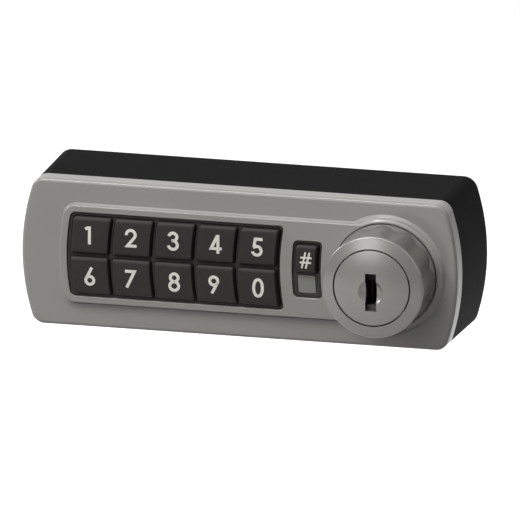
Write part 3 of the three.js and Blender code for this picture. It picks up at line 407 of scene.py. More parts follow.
# the panel's edge and the ring round the knob, from the top to the face: (grow or radius, depth, cut)
panelEdge = [(-1.5, 0), (0.1, 0, 0.14), (0.36, 0.3, 0.1), (0.5, 0.95, 0.12), (0.85, 1.4), (0.85, 2.4)]
ringEdge = [(0, 0), (16.22, 0, 0.18), (16.75, 0.5, 0.14), (17.3, 0.62, 0.16), (18.05, 1.4), (18.05, 2.4), (0, 2.4)]


def panelOutline(grow):
    width = knobX - keypad["panelLeft"]
    return bowed(keypad["panelLeft"] + width / 2, keypadZ, width, 2 * keypad["panelHalfHeight"],
        keypad["panelCorner"], grow, sideSteps=24, cornerSteps=12)


windowOutline, slotOutline = [outlineOf(keypad[name], keypad["openingCorner"]) for name in ("window", "slot")]
# the hollow behind the panel takes the keypad's frame and mat
left = keypad["window"][0] - keypad["window"][2] / 2 - keypad["bayMargin"]
right = keypad["slot"][0] + keypad["slot"][2] / 2 + keypad["bayMargin"]
bayOutline = outlineOf(((left + right) / 2, keypadZ, right - left, keypad["window"][3] + 2 * keypad["bayMargin"]),
    keypad["bayCorner"])

coverShape = {
    "wall": 1.8,
    "collar": (13.2, 1.3, -23.4),  # round the knob's bore: its radius, its start behind the face and its end
    "boreRadius": 11.3,
    "recess": (15.7, 0.9, 0.3),  # the shallow recess that takes the knob's foot: radius, depth, flare
}


def mouth(outline):
    # a cutter whose rim flares into a small fillet at the panel's face
    flare, fillet = keypad["mouthFlare"], keypad["mouthFillet"]
    top = panelY - hair
    return drawn("mouth", outline, [(flare, panelY - 2), (flare, top), (0, top, fillet), (0, -28)])


def makeCover():
    wall, top = coverShape["wall"], panelY - hair
    fillet = caseShape["frontFillet"]
    shell = drawn("cover", caseOutline, [(-2.5, faceY), (0, faceY, fillet), (0, jointY)], 12)
    panel = drawn("panel", panelOutline, [(grow, panelY + depth, *cut) for grow, depth, *cut in panelEdge])
    ring = turned("ring", [(r, panelY + depth, *cut) for r, depth, *cut in ringEdge], knobX, columns=160)
    combine(shell, [panel, ring], "UNION")
    inside = drawn("inside", caseOutline, [(-wall, faceY + wall), (-wall, jointY + 1)])
    bay = drawn("bay", bayOutline, [(0, panelY + wall), (0, jointY)])
    combine(shell, [inside, bay, mouth(windowOutline), mouth(slotOutline)])
    radius, start, endY = coverShape["collar"]
    combine(shell, [bar(radius, faceY + start, endY, knobX)], "UNION")
    radius, depth, flare = coverShape["recess"]
    flared, floorY = radius + flare, panelY + depth
    recess = turned("recess", [(0, panelY - 1), (flared, panelY - 1), (flared, top), (radius, top, 0.1),
        (radius, floorY), (0, floorY)], knobX, columns=160)
    return combine(shell, [recess, bar(coverShape["boreRadius"], panelY - 1, -20, knobX, columns=96)])


finishPiece(makeCover(), "coverCasting", "housing", silverLacquer, ["front_cover"])
print("cover made")


barrel = {
    "radius": 9.4, "flat": 8.0, "bore": 4.85,
    "flange": 12.4, "flangeThickness": 2.0,
    "pitch": 1.0, "thread": 0.4,
    "gap": 0.2,  # between the barrel and the housing's hole for it
}


def barrelRadius(angle, radius, flat):
    # a circle with two flats above and below
    return np.minimum(radius, flat / np.maximum(np.abs(np.sin(angle)), 1e-6))


def barrelOutline(grow):
    angle = fullTurn(96)
    radius = barrelRadius(angle, barrel["radius"] + grow, barrel["flat"] + grow)
    return np.stack([knobX + radius * np.cos(angle), radius * np.sin(angle)], 1)


lidLow, lidHigh = ends("battery_lid")
lidScrew = middle("lid_screw")
caseScrews = [middle("case_screw_" + str(i)) for i in (1, 2, 3, 4)]
anchor = middle("anchor_insert")
undersideFlare = (housingHigh[0] - housingLow[0] - caseShape["width"]) / 2


def underside(y):
    # height of the housing's underside at depth y, which flares towards the door
    return -caseShape["height"] / 2 - undersideFlare * (y - jointY) / -jointY


housing = {
    "wall": 2.4,
    "postRadius": 3.6, "screwWell": (1.5, 2.9, 3.0),  # its hole, and the radius and depth of the head's well
    "anchorPost": (6.0, -10.0), "anchorHole": (4.1, -9.2),  # radius and front end
    "holeFlare": 0.5,
    "lidGap": 0.2, "lidLedge": 1.2, "ledgeWidth": 1.0,
    "lidPost": (5.0, 6.0, -15.5),  # the post of the battery door's screw: width, depth and top
    "screwSeat": 3.6,  # the battery opening ends this far before that screw
    "trayTop": -13.0,
}


def makeHousing():
    wall, flare = housing["wall"], housing["holeFlare"]
    shell = drawn("housing", caseOutline, [(0, jointY, 0.15), (undersideFlare, 0, 0.6), (-2, 0)])
    combine(shell, [drawn("inside", caseOutline, [(-wall, jointY - 1), (-wall, -wall)])])
    posts = [bar(housing["postRadius"], jointY, -1, x, z) for x, _, z in caseScrews]
    radius, frontY = housing["anchorPost"]
    posts.append(bar(radius, frontY, -1, anchor[0], anchor[2]))
    combine(shell, posts, "UNION")
    hole, head, depth = housing["screwWell"]
    well = [(0, jointY - 1), (hole, jointY - 1), (hole, -depth), (head, -depth), (head, hair, 0.2),
        (head + flare, hair), (head + flare, 1), (0, 1)]
    hole, frontY = housing["anchorHole"]
    sleeve = [(0, frontY), (hole, frontY), (hole, hair, 0.15), (hole + flare, hair), (hole + flare, 1), (0, 1)]
    gap = barrel["gap"]
    barrelHole = [(gap, -5), (gap, hair, 0.15), (gap + 0.6, hair), (gap + 0.6, 1)]
    combine(shell, [turned("well", well, x, z, 48) for x, _, z in caseScrews] + [
        turned("hole", sleeve, anchor[0], anchor[2], 64), drawn("hole", barrelOutline, barrelHole)])
    gap, edge, ledgeZ = housing["lidGap"], housing["ledgeWidth"], lidHigh[2] - housing["lidLedge"]
    ledge = block((lidLow[0] - gap, lidLow[1] - gap, -30), (lidHigh[0] + gap, lidHigh[1] + gap, ledgeZ))
    opening = block((lidLow[0] + edge, lidLow[1] + edge, -30),
        (lidScrew[0] - housing["screwSeat"], lidHigh[1] - edge, housing["trayTop"]))
    width, depth, topZ = housing["lidPost"]
    post = block((lidScrew[0] - width / 2, lidScrew[1] - depth / 2, ledgeZ - 0.1),
        (lidScrew[0] + width / 2, lidScrew[1] + depth / 2, topZ))
    return combine(combine(shell, [ledge, opening]), [post], "UNION")


finishPiece(makeHousing(), "housingMoulding", "housing", blackAbs, ["rear_housing"])


lid = {
    "corner": 0.8, "thickness": 1.3,
    "grooves": (5, 1.8, 0.9, 3.0, 5.0),  # finger grooves: count, pitch, width, and their distance from its edges
    "grooveTop": -21.75,
    "seatRadius": 2.2, "seatZ": -21.15, "screwHole": 1.2,
}


def makeLid():
    # a rounded plate flush with the sloping underside, with finger grooves and a seat for its screw
    corner, thickness = lid["corner"], lid["thickness"]
    centre = (lidLow + lidHigh)[:2] / 2
    x, y = (lidHigh - lidLow)[:2] / 2 - corner
    quarters = [(x, -y, -90), (x, y, 0), (-x, y, 90), (-x, -y, 180)]

    def outline(grow):
        return centre + np.vstack([arc(a, b, corner + grow, start, start + 90, 8) for a, b, start in quarters])

    profile = softened([(-3, 0), (0, 0, 0.3), (0, thickness), (-3, thickness)])
    outlines = [outline(grow) for grow, _ in profile]
    levels = [underside(ring[::-1, 1]) + rise for ring, (_, rise) in zip(outlines, profile)]
    plate = loft("lid", outlines, levels, upwards=True)
    count, pitch, width, side, margin = lid["grooves"]
    grooves = [block((left, lidLow[1] + margin, -30), (left + width, lidHigh[1] - margin, lid["grooveTop"]))
               for left in lidLow[0] + side + pitch * np.arange(count)]
    radius, hole, seatZ = lid["seatRadius"], lid["screwHole"], lid["seatZ"]
    seat = turned("seat", [(0, -30), (radius, -30), (radius, seatZ), (hole, seatZ), (hole, -15), (0, -15)])
    seat.data.transform(Matrix(((1, 0, 0, lidScrew[0] * mm), (0, 0, -1, lidScrew[1] * mm), (0, 1, 0, 0), (0, 0, 0, 1))))
    return combine(plate, grooves + [seat])


finishPiece(makeLid(), "batteryDoor", "housing", blackAbs, ["battery_lid"])
print("housing and battery door made")


keyShape = {
    "corner": 0.9, "frontCorner": 0.5,
    "filletZ": 1.3, "drop": 0.95,  # rounding over the upper and lower edge: its height and its depth
    "draftX": 0.43, "draft": 1.9,  # the upright sides lean in by draftX over this depth
    "edge": 0.14,  # small rounding where they meet the front
    "lean": -0.2,  # the front sits this far to the left of the foot
    "crown": 0.12,  # the middle of the front stands this far above its edges
    "legendWidth": 0.88, "legendRise": 0.02,
    "legendX": -0.5,  # the digits stand left of the key's middle
    "legendZ": 0.12,  # and this far towards the keypad's upper or lower edge
}


def frontLevel(x, z, middleX, middleZ, halfWidth, halfHeight):
    # the crowned front: deepest at the edges, and level with keyFrontY in the middle
    across = np.clip((x - middleX) / halfWidth, -1, 1)
    up = np.clip((z - middleZ) / halfHeight, -1, 1)
    return keyFrontY + keyShape["crown"] * (1 - (1 - across ** 2) * (1 - up ** 2))


def rounded(fall, depth, inset):
    # how far in a quarter ellipse still is after a fall behind the front
    return inset * (1 - np.sqrt(1 - np.clip(1 - fall / depth, 0, 1) ** 2))


def keyCap(name, x, z, width, height):
    # rings from the middle of the front, round over its edges and back to the mat
    drop, draft = keyShape["drop"], keyShape["draft"]
    fall = np.concatenate([drop * (1 - np.cos(np.radians(np.linspace(0, 90, 13)))), np.linspace(drop, draft, 5)[1:]])
    away = 1 - fall / draft
    insetX = keyShape["draftX"] * away + rounded(fall, keyShape["edge"], keyShape["edge"])
    insetZ = rounded(fall, drop, keyShape["filletZ"])
    corner = keyShape["corner"] + (keyShape["frontCorner"] - keyShape["corner"]) * away
    outlines = [bowed(x + keyShape["lean"] * part, z, width - 2 * a, height - 2 * b, c, 0, 16)
                for part, a, b, c in zip(away, insetX, insetZ, corner)]
    centre = np.array([x + bow(z), z])
    inner = [centre + (outlines[0] - centre) * s for s in np.linspace(0, 1, 14)[:-1]]
    rings = np.array(inner + outlines + [outlines[-1]])
    fall = np.concatenate([np.zeros(len(inner)), fall, [0]])
    level = frontLevel(rings[..., 0], rings[..., 1], centre[0], z, width / 2, height / 2) + fall[:, None]
    level[-1] = keyBackY
    return weld(loft(name, rings, level))


def stroke(name, path, width, level):
    # a raised ribbon half a width to both sides of a path, mitred; a path that ends where it starts closes on itself
    closed = np.allclose(path[0], path[-1])
    path = path[:-1] if closed else path
    ahead = np.roll(path, -1, 0) - path
    ahead /= np.linalg.norm(ahead, axis=1, keepdims=True)
    if not closed:
        ahead[-1] = ahead[-2]
    behind = np.roll(ahead, 1, 0)
    if not closed:
        behind[0] = ahead[0]
    along = ahead + behind
    along /= np.linalg.norm(along, axis=1, keepdims=True)
    mitre = np.maximum((along * ahead).sum(1, keepdims=True), 0.35)
    side = np.stack([-along[:, 1], along[:, 0]], 1) * width / 2 / mitre
    right, left = path - side, path + side
    rise = keyShape["legendRise"]
    points = np.empty((len(path), 4, 3))
    for column, (edge, depth) in enumerate([(right, -rise), (left, -rise), (left, 0.15), (right, 0.15)]):
        points[:, column, 0] = edge[:, 0]
        points[:, column, 1] = level(edge[:, 0], edge[:, 1]) + depth
        points[:, column, 2] = edge[:, 1]
    faces = gridFaces(len(path), 4, wrapRows=closed).tolist()
    if not closed:
        last = 4 * (len(path) - 1)
        faces += [[0, 1, 2, 3], [last + 3, last + 2, last + 1, last]]
    return addMesh(name, points, faces)


def dense(corners, steps=12):
    # straight runs between corners, cut into short steps so that they follow the crown
    corners = np.array(corners, float)
    t = np.linspace(0, 1, steps, endpoint=False)[:, None]
    runs = [start + (stop - start) * t for start, stop in zip(corners[:-1], corners[1:])]
    return np.vstack(runs + [corners[-1:]])


# centre lines of the digits, in millimetres
digitLines = {
    "1": [dense([(0.24, -2.69), (0.24, 2.69)]), dense([(-1.03, 1.86), (0.0, 2.36)])],
    "2": [np.vstack([oval(0.12, 1.03, 1.33, 1.33, 186, -38), dense([(-0.9, -2.32), (1.86, -2.32)])])],
    "3": [np.vstack([oval(0.2, 1.29, 1.2, 1.15, 172, -90), dense([(0.1, 0.14), (-0.3, 0.14)], 3)]),
          np.vstack([dense([(-0.3, 0.13), (0.1, 0.13)], 3), oval(0.2, -1.16, 1.34, 1.28, 88, -172)])],
    "4": [dense([(0.97, 2.58), (-0.88, -1.33), (2.3, -1.33)]), dense([(1.15, -2.81), (1.15, 2.81)])],
    "5": [np.vstack([dense([(2.0, 2.36), (-0.2, 2.36), (-0.56, 0.16)]), oval(0.27, -1.11, 1.32, 1.32, 124, -168)])],
    "6": [oval(0.375, -1.215, 1.195, 1.195, 0, 360), dense([(-0.7, -0.69), (0.95, 2.66)])],
    "7": [dense([(-1.65, 2.28), (1.2, 2.28), (-1.1, -2.6)])],
    "8": [oval(0.6, 1.32, 1.16, 1.16, 0, 360), oval(0.6, -1.18, 1.33, 1.3, 0, 360)],
    "9": [oval(-0.1, 1.16, 1.21, 1.21, 0, 360), dense([(0.99, 0.63), (-0.68, -2.6)])],
    "0": [oval(0.645, 0, 1.295, 2.45, 0, 360, 60, 2.2)],
    "#": [dense([(-1.16, -2.42), (-0.02, 2.42)]), dense([(0.06, -2.42), (1.2, 2.42)]),
          dense([(-1.72, -0.68), (1.68, -0.68)]), dense([(-1.58, 0.78), (1.82, 0.78)])],
}


def makeKey(node, sign, legendWidth, shift):
    x, z, width, height = placeOf(node, keyShape["corner"])
    finishPiece(keyCap(node, x, z, width, height), "keyCap" + node[4:], node, keyAbs, [node], 50)
    centre = np.array([x + bow(z), z])

    def level(a, b):
        return frontLevel(a, b, *centre, width / 2, height / 2)

    parts = [stroke("line", path + centre + shift, legendWidth, level) for path in digitLines[sign]]
    with bpy.context.temp_override(active_object=parts[0], selected_editable_objects=parts):
        bpy.ops.object.join()
    finishPiece(parts[0], "legend" + node[4:], node, legendInk)


for digits, towards in (("12345", 1), ("67890", -1)):
    for digit in digits:
        makeKey("key_" + digit, digit, keyShape["legendWidth"], (keyShape["legendX"], towards * keyShape["legendZ"]))
makeKey("key_enter", "#", 0.54, (-0.03, -0.23))
print("keys made")


keyCorner = keyShape["corner"]
lensOutline = outlineOf(placeOf("status_window", 0.4, 0.7), 0.45)
enterOutline = outlineOf(placeOf("key_enter", keyCorner), keyCorner)
# round all ten keys: from the first key's left edge to the last key's right edge
firstX, upperZ, keyWidth, keyHeight = placeOf("key_1", keyCorner)
lastX, lowerZ = placeOf("key_0", keyCorner)[:2]
fieldOutline = outlineOf(((firstX + lastX) / 2, (upperZ + lowerZ) / 2, lastX - firstX + keyWidth,
    upperZ - lowerZ + keyHeight), keyCorner)


def makeKeypadFrame():
    rimY = panelY + keypad["rimRecess"]
    top = rimY - hair
    flange = drawn("flange", bayOutline, [(-0.3, panelY + depth) for depth in keypad["flange"]])
    rims = [drawn("rim", outline, [(-2, rimY), (-0.12, rimY, 0.15), (-0.12, panelY + 3)])
            for outline in (windowOutline, slotOutline)]
    combine(flange, rims, "UNION")
    openings = [(fieldOutline, keypad["keyGap"]), (enterOutline, keypad["keyGap"]), (lensOutline, keypad["lensGap"])]
    cuts = [drawn("cut", outline, [(1, rimY - 1), (1, top), (gap, top, 0.12), (gap, panelY + 5)])
            for outline, gap in openings]
    return combine(flange, cuts)


finishPiece(makeKeypadFrame(), "keypadSurround", "housing", frameAbs, ["keypad_frame"])

lensLow, lensHigh = ends("status_window")
lens = drawn("lens", lensOutline, [(-1.5, lensLow[1]), (0, lensLow[1], 0.12), (0, lensHigh[1])])
finishPiece(lens, "statusLens", "housing", windowPc, ["status_window"])


def makeMat():
    # a rubber sheet with a hollow boss behind each key, and a web between the ten keys
    backY = ends("keypad_mat")[1][1]
    ledgeY = keyBackY + keypad["travel"]
    sheet = drawn("mat", bayOutline, [(-0.6, backY - keypad["matThickness"]), (-0.6, backY)])
    web = drawn("web", fieldOutline, [(0.05, keyFrontY + keypad["webDepth"]), (0.05, backY - 0.2)])
    inset = keypad["bossInset"]
    hollow = inset + keypad["bossWall"]
    tunnels, bosses, hollows = [], [], []
    for key in [node for node in nodes if node.startswith("key_") and node != "key_plug"]:
        boss = outlineOf(placeOf(key, keyCorner), 1.0)
        tunnels.append(drawn("tunnel", boss, [(0.12, keyFrontY), (0.12, ledgeY), (-1, ledgeY), (-1, backY)]))
        bosses.append(drawn("boss", boss, [(-3, ledgeY), (-inset, ledgeY, 0.3), (-inset, backY - 0.2)]))
        hollows.append(drawn("hollow", boss, [(-hollow, ledgeY + keypad["bossFront"]), (-hollow, backY + 1)]))
    return combine(combine(sheet, [combine(web, tunnels)] + bosses, "UNION"), hollows)


finishPiece(makeMat(), "rubberMat", "housing", siliconeRubber, ["keypad_mat"])
print("frame, lens and mat made")


knob = {
    "radius": 15.25, "flange": 15.45, "flangeThickness": 0.9, "edgeY": -47.9, "coneY": -48.97,
    "edgeFillet": 0.7, "gripStart": 0.9,
    "skirt": (11.0, -20.3), "hollow": (8.15, -45.65),  # radius and end of its back's two steps
    "discRadius": 11.28, "boreRadius": 11.68, "dome": 1.3, "discThickness": 3.0,
    "shaft": (7.1, -23.5),  # the plug behind its disc: radius and end
    "flutes": 12, "fluteDepth": 0.62,
    "fluteFront": 2.2,  # a flute deepens over this length behind the front edge
    "footRadius": 14.4, "footLength": 2.4,  # the cone that each flute runs out on
    "keywayWidth": 3.3, "keywayHeight": 11.3, "keywayDrop": 1.1, "keywayDepth": 8.0,
    "mouthDepth": 2.1, "upperShelf": 2.2, "lowerShelf": 1.65,  # shallow shelves at the keyway's two ends
    "bladeSlot": (1.8, -4.75, 2.2, -27.5),  # the slot for the key's blade: width, lower and upper end, back
    "dishRadius": 3.85, "dishDepth": 1.6,
}


def makeKnob():
    # the grip's radius over angle and depth: a drum less its waves, or the foot's cone where that is larger
    bore = knob["boreRadius"]
    footY = panelY + 0.6
    flangeY = footY - knob["flangeThickness"]
    columns = knob["flutes"] * 36
    start = knob["edgeY"] + knob["gripStart"]
    gripY = np.linspace(start, flangeY, 56)[1:]
    share = np.clip((gripY - start) / knob["fluteFront"], 0, 1)
    fade = (share ** 2 * (3 - 2 * share))[:, None]
    ripple = (0.5 - 0.5 * np.cos(knob["flutes"] * fullTurn(columns))) ** 1.3
    drum = knob["radius"] - knob["fluteDepth"] * fade * ripple
    cone = knob["footRadius"] + (knob["flange"] - knob["footRadius"]) * (
        (gripY - flangeY + knob["footLength"]) / knob["footLength"])[:, None]
    soft = 0.1  # how gently the cone takes over from the drum
    mixed = np.clip(0.5 + (cone - drum) / (2 * soft), 0, 1)
    grip = cone * mixed + drum * (1 - mixed) + soft * mixed * (1 - mixed)
    front = softened([(bore, knob["coneY"] + knob["discThickness"]), (bore, knob["coneY"], 0.06),
        (knob["radius"], knob["edgeY"], knob["edgeFillet"]), (knob["radius"], start)], 10)
    (skirt, shoulder), (hollow, inner) = knob["skirt"], knob["hollow"]
    tail = softened([(knob["flange"], flangeY), (knob["flange"], footY, 0.12), (skirt, footY),
        (skirt, shoulder), (hollow, shoulder), (hollow, inner), (bore, inner)])
    return spun("knob", [front, (grip, gripY), tail], knobX, 0, columns)


finishPiece(makeKnob(), "knobGrip", "knob", satinNickel, ["knob"], sharp=28)


def capDepth(r, radius, depth):
    # how far a spherical cap has fallen behind its top at a distance r from its axis
    ball = (radius ** 2 + depth ** 2) / (2 * depth)
    return ball - np.sqrt(ball ** 2 - r ** 2)


def makePlug():
    # a domed disc on a shaft; the keyway in its round dish is painted near-black for its shade, and its lowest step a
    # lighter painted shade
    radius, dome = knob["discRadius"], knob["dome"]
    r = np.linspace(0, radius - 0.07, 30)
    frontY = knob["coneY"] + 0.02 - dome
    face = np.stack([r, frontY + capDepth(r, radius, dome)], 1)
    backY = knob["coneY"] + knob["discThickness"]
    shaft, endY = knob["shaft"]
    body = [(radius, knob["coneY"] + 0.09), (radius, backY), (shaft, backY), (shaft, endY), (0, endY)]
    plug = turned("plug", np.vstack([face, body]), knobX, columns=144)
    halfWidth = knob["keywayWidth"] / 2
    lowZ = -knob["keywayDrop"] - knob["keywayHeight"] / 2
    highZ = lowZ + knob["keywayHeight"]
    left, right = knobX - halfWidth, knobX + halfWidth
    mouthY, floorY = frontY + knob["mouthDepth"], frontY + knob["keywayDepth"]
    width, bladeLow, bladeHigh, bladeEnd = knob["bladeSlot"]
    slots = [
        block((left, frontY - 1, lowZ), (right, mouthY, highZ)),
        block((left, frontY, lowZ + knob["lowerShelf"]), (right, floorY, highZ - knob["upperShelf"])),
        block((knobX - width / 2, frontY, bladeLow), (knobX + width / 2, bladeEnd, bladeHigh)),
    ]
    depth, reach = knob["dishDepth"], knob["dishRadius"]
    r = np.linspace(reach, 0, 20)
    dish = np.stack([r, frontY + depth - capDepth(r, reach, depth)], 1)
    dish = turned("dish", np.vstack([[(0, frontY - 1), (reach + 0.05, frontY - 1)], dish]), knobX,
        -knob["keywayDrop"], 96)
    combine(plug, slots + [dish])
    finishPiece(plug, "plugFace", "key_plug", satinNickel, ["key_plug"])
    plug.data.materials.append(keywayPaintedShade)
    plug.data.materials.append(keywayStepPaintedShade)
    centres = np.empty(3 * len(plug.data.polygons))
    plug.data.polygons.foreach_get("center", centres)
    x, y, z = centres.reshape(-1, 3).T / mm
    near = 0.01
    # faces inside the keyway take its painted shade (index 1), and those of its lowest step the lighter painted shade
    # (index 2)
    keywayShadeMask = (np.abs(x - knobX) < halfWidth + near) & (y > frontY + 0.3) & (y < bladeEnd - 0.5)
    keywayShadeMask &= (z < highZ + near) & (z > lowZ - near)
    low = keywayShadeMask & (z < lowZ + knob["lowerShelf"] - near)
    plug.data.polygons.foreach_set("material_index", keywayShadeMask.astype(int) + low)


makePlug()
print("knob and plug made")

metal = {"Metallic": 1.0}
# Zinc-plated steel: cool light grey with small crystals.
zincPlate = spangled("zincPlatedSteel", "#a3a4a3", "#b6b6b1", 0.5, metal)
# Die-cast zinc under satin nickel: warm grey with a soft even sheen.
nickelBarrel = streaked("satinNickelBarrel", "#9d9b95", "#a9a7a0", (9, 0.25, 9), {"Metallic": 0.9},
    roughness=(0.3, 0.42))
# Turned brass: fine tool rings, a little dulled.
turnedBrass = streaked("turnedBrass", "#a8893f", "#c0a254", (12, 0.12, 12), metal, roughness=(0.24, 0.38))
# Stamped brass wafers painted brown-black for the shade inside the keyway, so the keyway stays dark.
waferPaintedShade = mottled("stampedBrassPaintedShade", "#191410", "#262018", 0.45,
    {"Metallic": 0.3, specular: 0.2}, patch=2.5)
# Spring steel blued by its tempering: dark and cool with marks along the strip.
springSteel = streaked("temperedSpringSteel", "#5d636b", "#7c8086", (6, 0.2, 0.3), metal)
# Steel turned and left oiled: grey with fine tool rings.
machinedSteel = streaked("oiledMachinedSteel", "#8b8d8f", "#a9aaab", (14, 0.15, 14), metal)
# Hardened steel: bright ground lines that run with the bolt.
groundSteel = streaked("groundHardenedSteel", "#808489", "#a2a6aa", (9, 0.15, 0.15), metal, roughness=(0.18, 0.3))
# Nickel-plated motor can: nearly smooth, slightly drawn along its length.
motorCan = streaked("nickelPlatedCan", "#a9acaf", "#b9bcbe", (10, 0.4, 0.4), metal, roughness=(0.2, 0.28))
# Nickel-plated spring strip: bright with soft rubbing marks.
nickelStrip = streaked("nickelPlatedStrip", "#aeafa8", "#c0c1b8", (0.3, 5, 0.3), metal, roughness=(0.22, 0.36))
# Green solder mask: glossy, with the glass weave faintly raised.
solderMask = spangled("greenSolderMask", "#1a5135", "#225f3f", 0.7, {"Coat Weight": 0.5},
    roughness=(0.28, 0.36), bump=0.1)
# Moulded epoxy chip package: matt black with a fine grain.
chipEpoxy = mottled("mouldedEpoxy", "#141414", "#1c1c1c", 0.15, {}, roughness=(0.5, 0.65), bump=0.2, patch=3)
# Clear cast resin lens: milky white and glossy.
clearResin = mottled("castClearResin", "#e8e8df", "#f4f4ee", 0.3, {"Transmission Weight": 0.3},
    roughness=(0.12, 0.2), patch=1)
# Closed-cell foam: soft black with open pores.
foamSeal = mottled("closedCellFoam", "#121212", "#1e1e1e", 0.35, {"IOR": 1.45},
    roughness=(0.85, 0.95), bump=0.7, patch=2)
# Moulded acetal: black with a waxy sheen.
blackAcetal = mottled("mouldedBlackAcetal", "#1a1a1a", "#212121", 0.4, {"IOR": 1.48}, roughness=(0.35, 0.45), patch=6)
# Shrunk PVC jacket of a cell: plain blue, glossy, with slight waves.
cellJacket = mottled("shrunkPvcJacket", "#345a86", "#3e6694", 2.5, {"Coat Weight": 0.4},
    roughness=(0.2, 0.3), patch=9)
print("back and inner materials ready")


hardware = {
    "nutChamfer": 1.9,  # how steeply the nut's corners are turned off
    "hole": 9.55,  # through the washer and the nut
    "knurls": 22, "knurlPitch": 1.7, "knurlDepth": 0.22, "insertThread": 0.22,
    "sleeveRadius": 4.0, "sleeveBore": 1.9,
    "screwPitch": 0.7, "screwThread": 0.22,
    "washerRadius": 12.6,
    "camTip": 5.0, "camSquare": 6.7,  # radius of the blade's corners, and width of its hole
    "cross": (0.17, 0.55, 0.65),  # half width and half length of a cross recess, and its depth, as shares of the head
}


def wave(angle, level, pitch, starts=1):
    # 0 on the crests and 1 in the roots of a V thread: |2 frac(level / pitch - starts * turn) - 1|
    return np.abs(2 * ((level[:, None] / pitch - starts * angle / (2 * np.pi)) % 1) - 1)


def makeBarrel():
    low, high = ends("mount_barrel")
    angle = fullTurn(120)
    outer, bore, rim, backY = barrel["radius"], barrel["bore"], barrel["flange"], low[1] + barrel["flangeThickness"]
    level = np.arange(backY, high[1], 0.11)
    depth = barrel["thread"] * np.clip(level, 0, 1)[:, None]
    body = np.minimum(outer - depth * wave(angle, level, barrel["pitch"]), outer + (high[1] - 0.9 - level)[:, None])
    body = barrelRadius(angle, body, barrel["flat"])
    flange = softened([(bore, low[1]), (rim, low[1], 0.2), (rim, backY, 0.2)])
    tail = [(bore + 0.45, high[1]), (bore, high[1] - 0.5)]
    return spun("barrel", [flange, (body, level), tail], knobX, 0, len(angle))


def makeNut():
    # a hexagon whose corners are turned off towards both ends
    low, high = ends("mount_nut")
    angle = fullTurn(144)
    half = (high[2] - low[2]) / 2
    level = np.linspace(low[1], high[1], 25)
    toEnd = np.minimum(level - low[1], high[1] - level)[:, None]
    hexagon = half / np.cos(angle % (np.pi / 3) - np.pi / 6)
    outside = np.minimum(hexagon, half - 0.2 + toEnd * hardware["nutChamfer"])
    hole = hardware["hole"]
    front, tail = [(hole, low[1] + 0.5), (hole + 0.5, low[1])], [(hole + 0.5, high[1]), (hole, high[1] - 0.5)]
    return spun("nut", [front, (outside, level), tail], knobX, 0, len(angle))


def makeInsert():
    # a brass sleeve with crossing knurls outside and a thread inside
    low, high = ends("anchor_insert")
    angle = fullTurn(hardware["knurls"] * 8)
    level = np.arange(low[1] + 0.5, high[1] - 0.9, 0.12)
    oneWay = wave(angle, level, hardware["knurlPitch"], hardware["knurls"])
    otherWay = wave(-angle, level, hardware["knurlPitch"], hardware["knurls"])
    outer, bore = hardware["sleeveRadius"], hardware["sleeveBore"]
    knurled = outer - hardware["knurlDepth"] * np.maximum(oneWay, otherWay)
    inside = np.arange(high[1] - 0.4, low[1] + 0.3, -0.09)
    thread = bore + hardware["insertThread"] * wave(angle, inside, hardware["screwPitch"])
    front = [(bore + 0.3, low[1]), (outer - 0.4, low[1])]
    collar = softened([(outer - 0.3, high[1] - 0.8), (outer, high[1] - 0.8), (outer, high[1], 0.2),
        (bore + 0.4, high[1], 0.1)], 3)
    return spun("insert", [front, (knurled, level), collar, (thread, inside)], anchor[0], anchor[2], len(angle))


def makeScrew(headRadius, headHeight, shankRadius, length):
    # a domed head with a cross recess, on y = 0 and facing +Y, and a threaded shank towards -Y
    angle = fullTurn(48)
    tip = [(0, -length), (0.5 * shankRadius, -length + 0.3 * shankRadius)]
    level = np.arange(-length + shankRadius, -0.5, hardware["screwPitch"] / 8)
    thread = shankRadius - hardware["screwThread"] * wave(angle, level, hardware["screwPitch"])
    head = softened([(shankRadius, 0), (headRadius, 0, 0.1), (headRadius, headHeight * 0.62, headHeight * 0.3),
        (headRadius * 0.7, headHeight, headHeight * 0.3), (0, headHeight)])
    screw = spun("screw", [tip, (thread, level), head], columns=len(angle))
    width, reach, depth = [share * size for share, size in zip(hardware["cross"], (headRadius, headRadius, headHeight))]
    bars = [block((-a, headHeight - depth, -b), (a, headHeight + 1, b)) for a, b in ((width, reach), (reach, width))]
    return combine(screw, bars)


finishPiece(makeBarrel(), "threadedBarrel", "housing", nickelBarrel, ["mount_barrel"])
finishPiece(makeNut(), "barrelNut", "housing", zincPlate, ["mount_nut"])
finishPiece(makeInsert(), "anchorSleeve", "housing", turnedBrass, ["anchor_insert"])
washerLow, washerHigh = ends("mount_washer")
hole, rim = hardware["hole"], hardware["washerRadius"]
washer = turned("washer", [(hole, washerLow[1], 0.15), (rim, washerLow[1], 0.25),
    (rim, washerHigh[1], 0.25), (hole, washerHigh[1], 0.15)], knobX)
finishPiece(washer, "barrelWasher", "housing", zincPlate, ["mount_washer"])
camLow, camHigh = ends("cam")


def camOutline(grow):
    # a half circle round the spindle, and a blade that ends in two rounded corners
    half, tip = (camHigh[2] - camLow[2]) / 2, hardware["camTip"]
    return np.vstack([arc(knobX, 0, half + grow, -90, 90, 36), arc(camLow[0] + tip, 2, tip + grow, 90, 180, 12),
        arc(camLow[0] + tip, -2, tip + grow, 180, 270, 12)])


blade = drawn("cam", camOutline, [(-2, camLow[1]), (0, camLow[1], 0.35), (0, camHigh[1], 0.2), (-2, camHigh[1])])
half = hardware["camSquare"] / 2
combine(blade, [block((knobX - half, camLow[1] - 1, -half), (knobX + half, camHigh[1] + 1, half))])
finishPiece(blade, "camBlade", "knob", zincPlate, ["cam"])

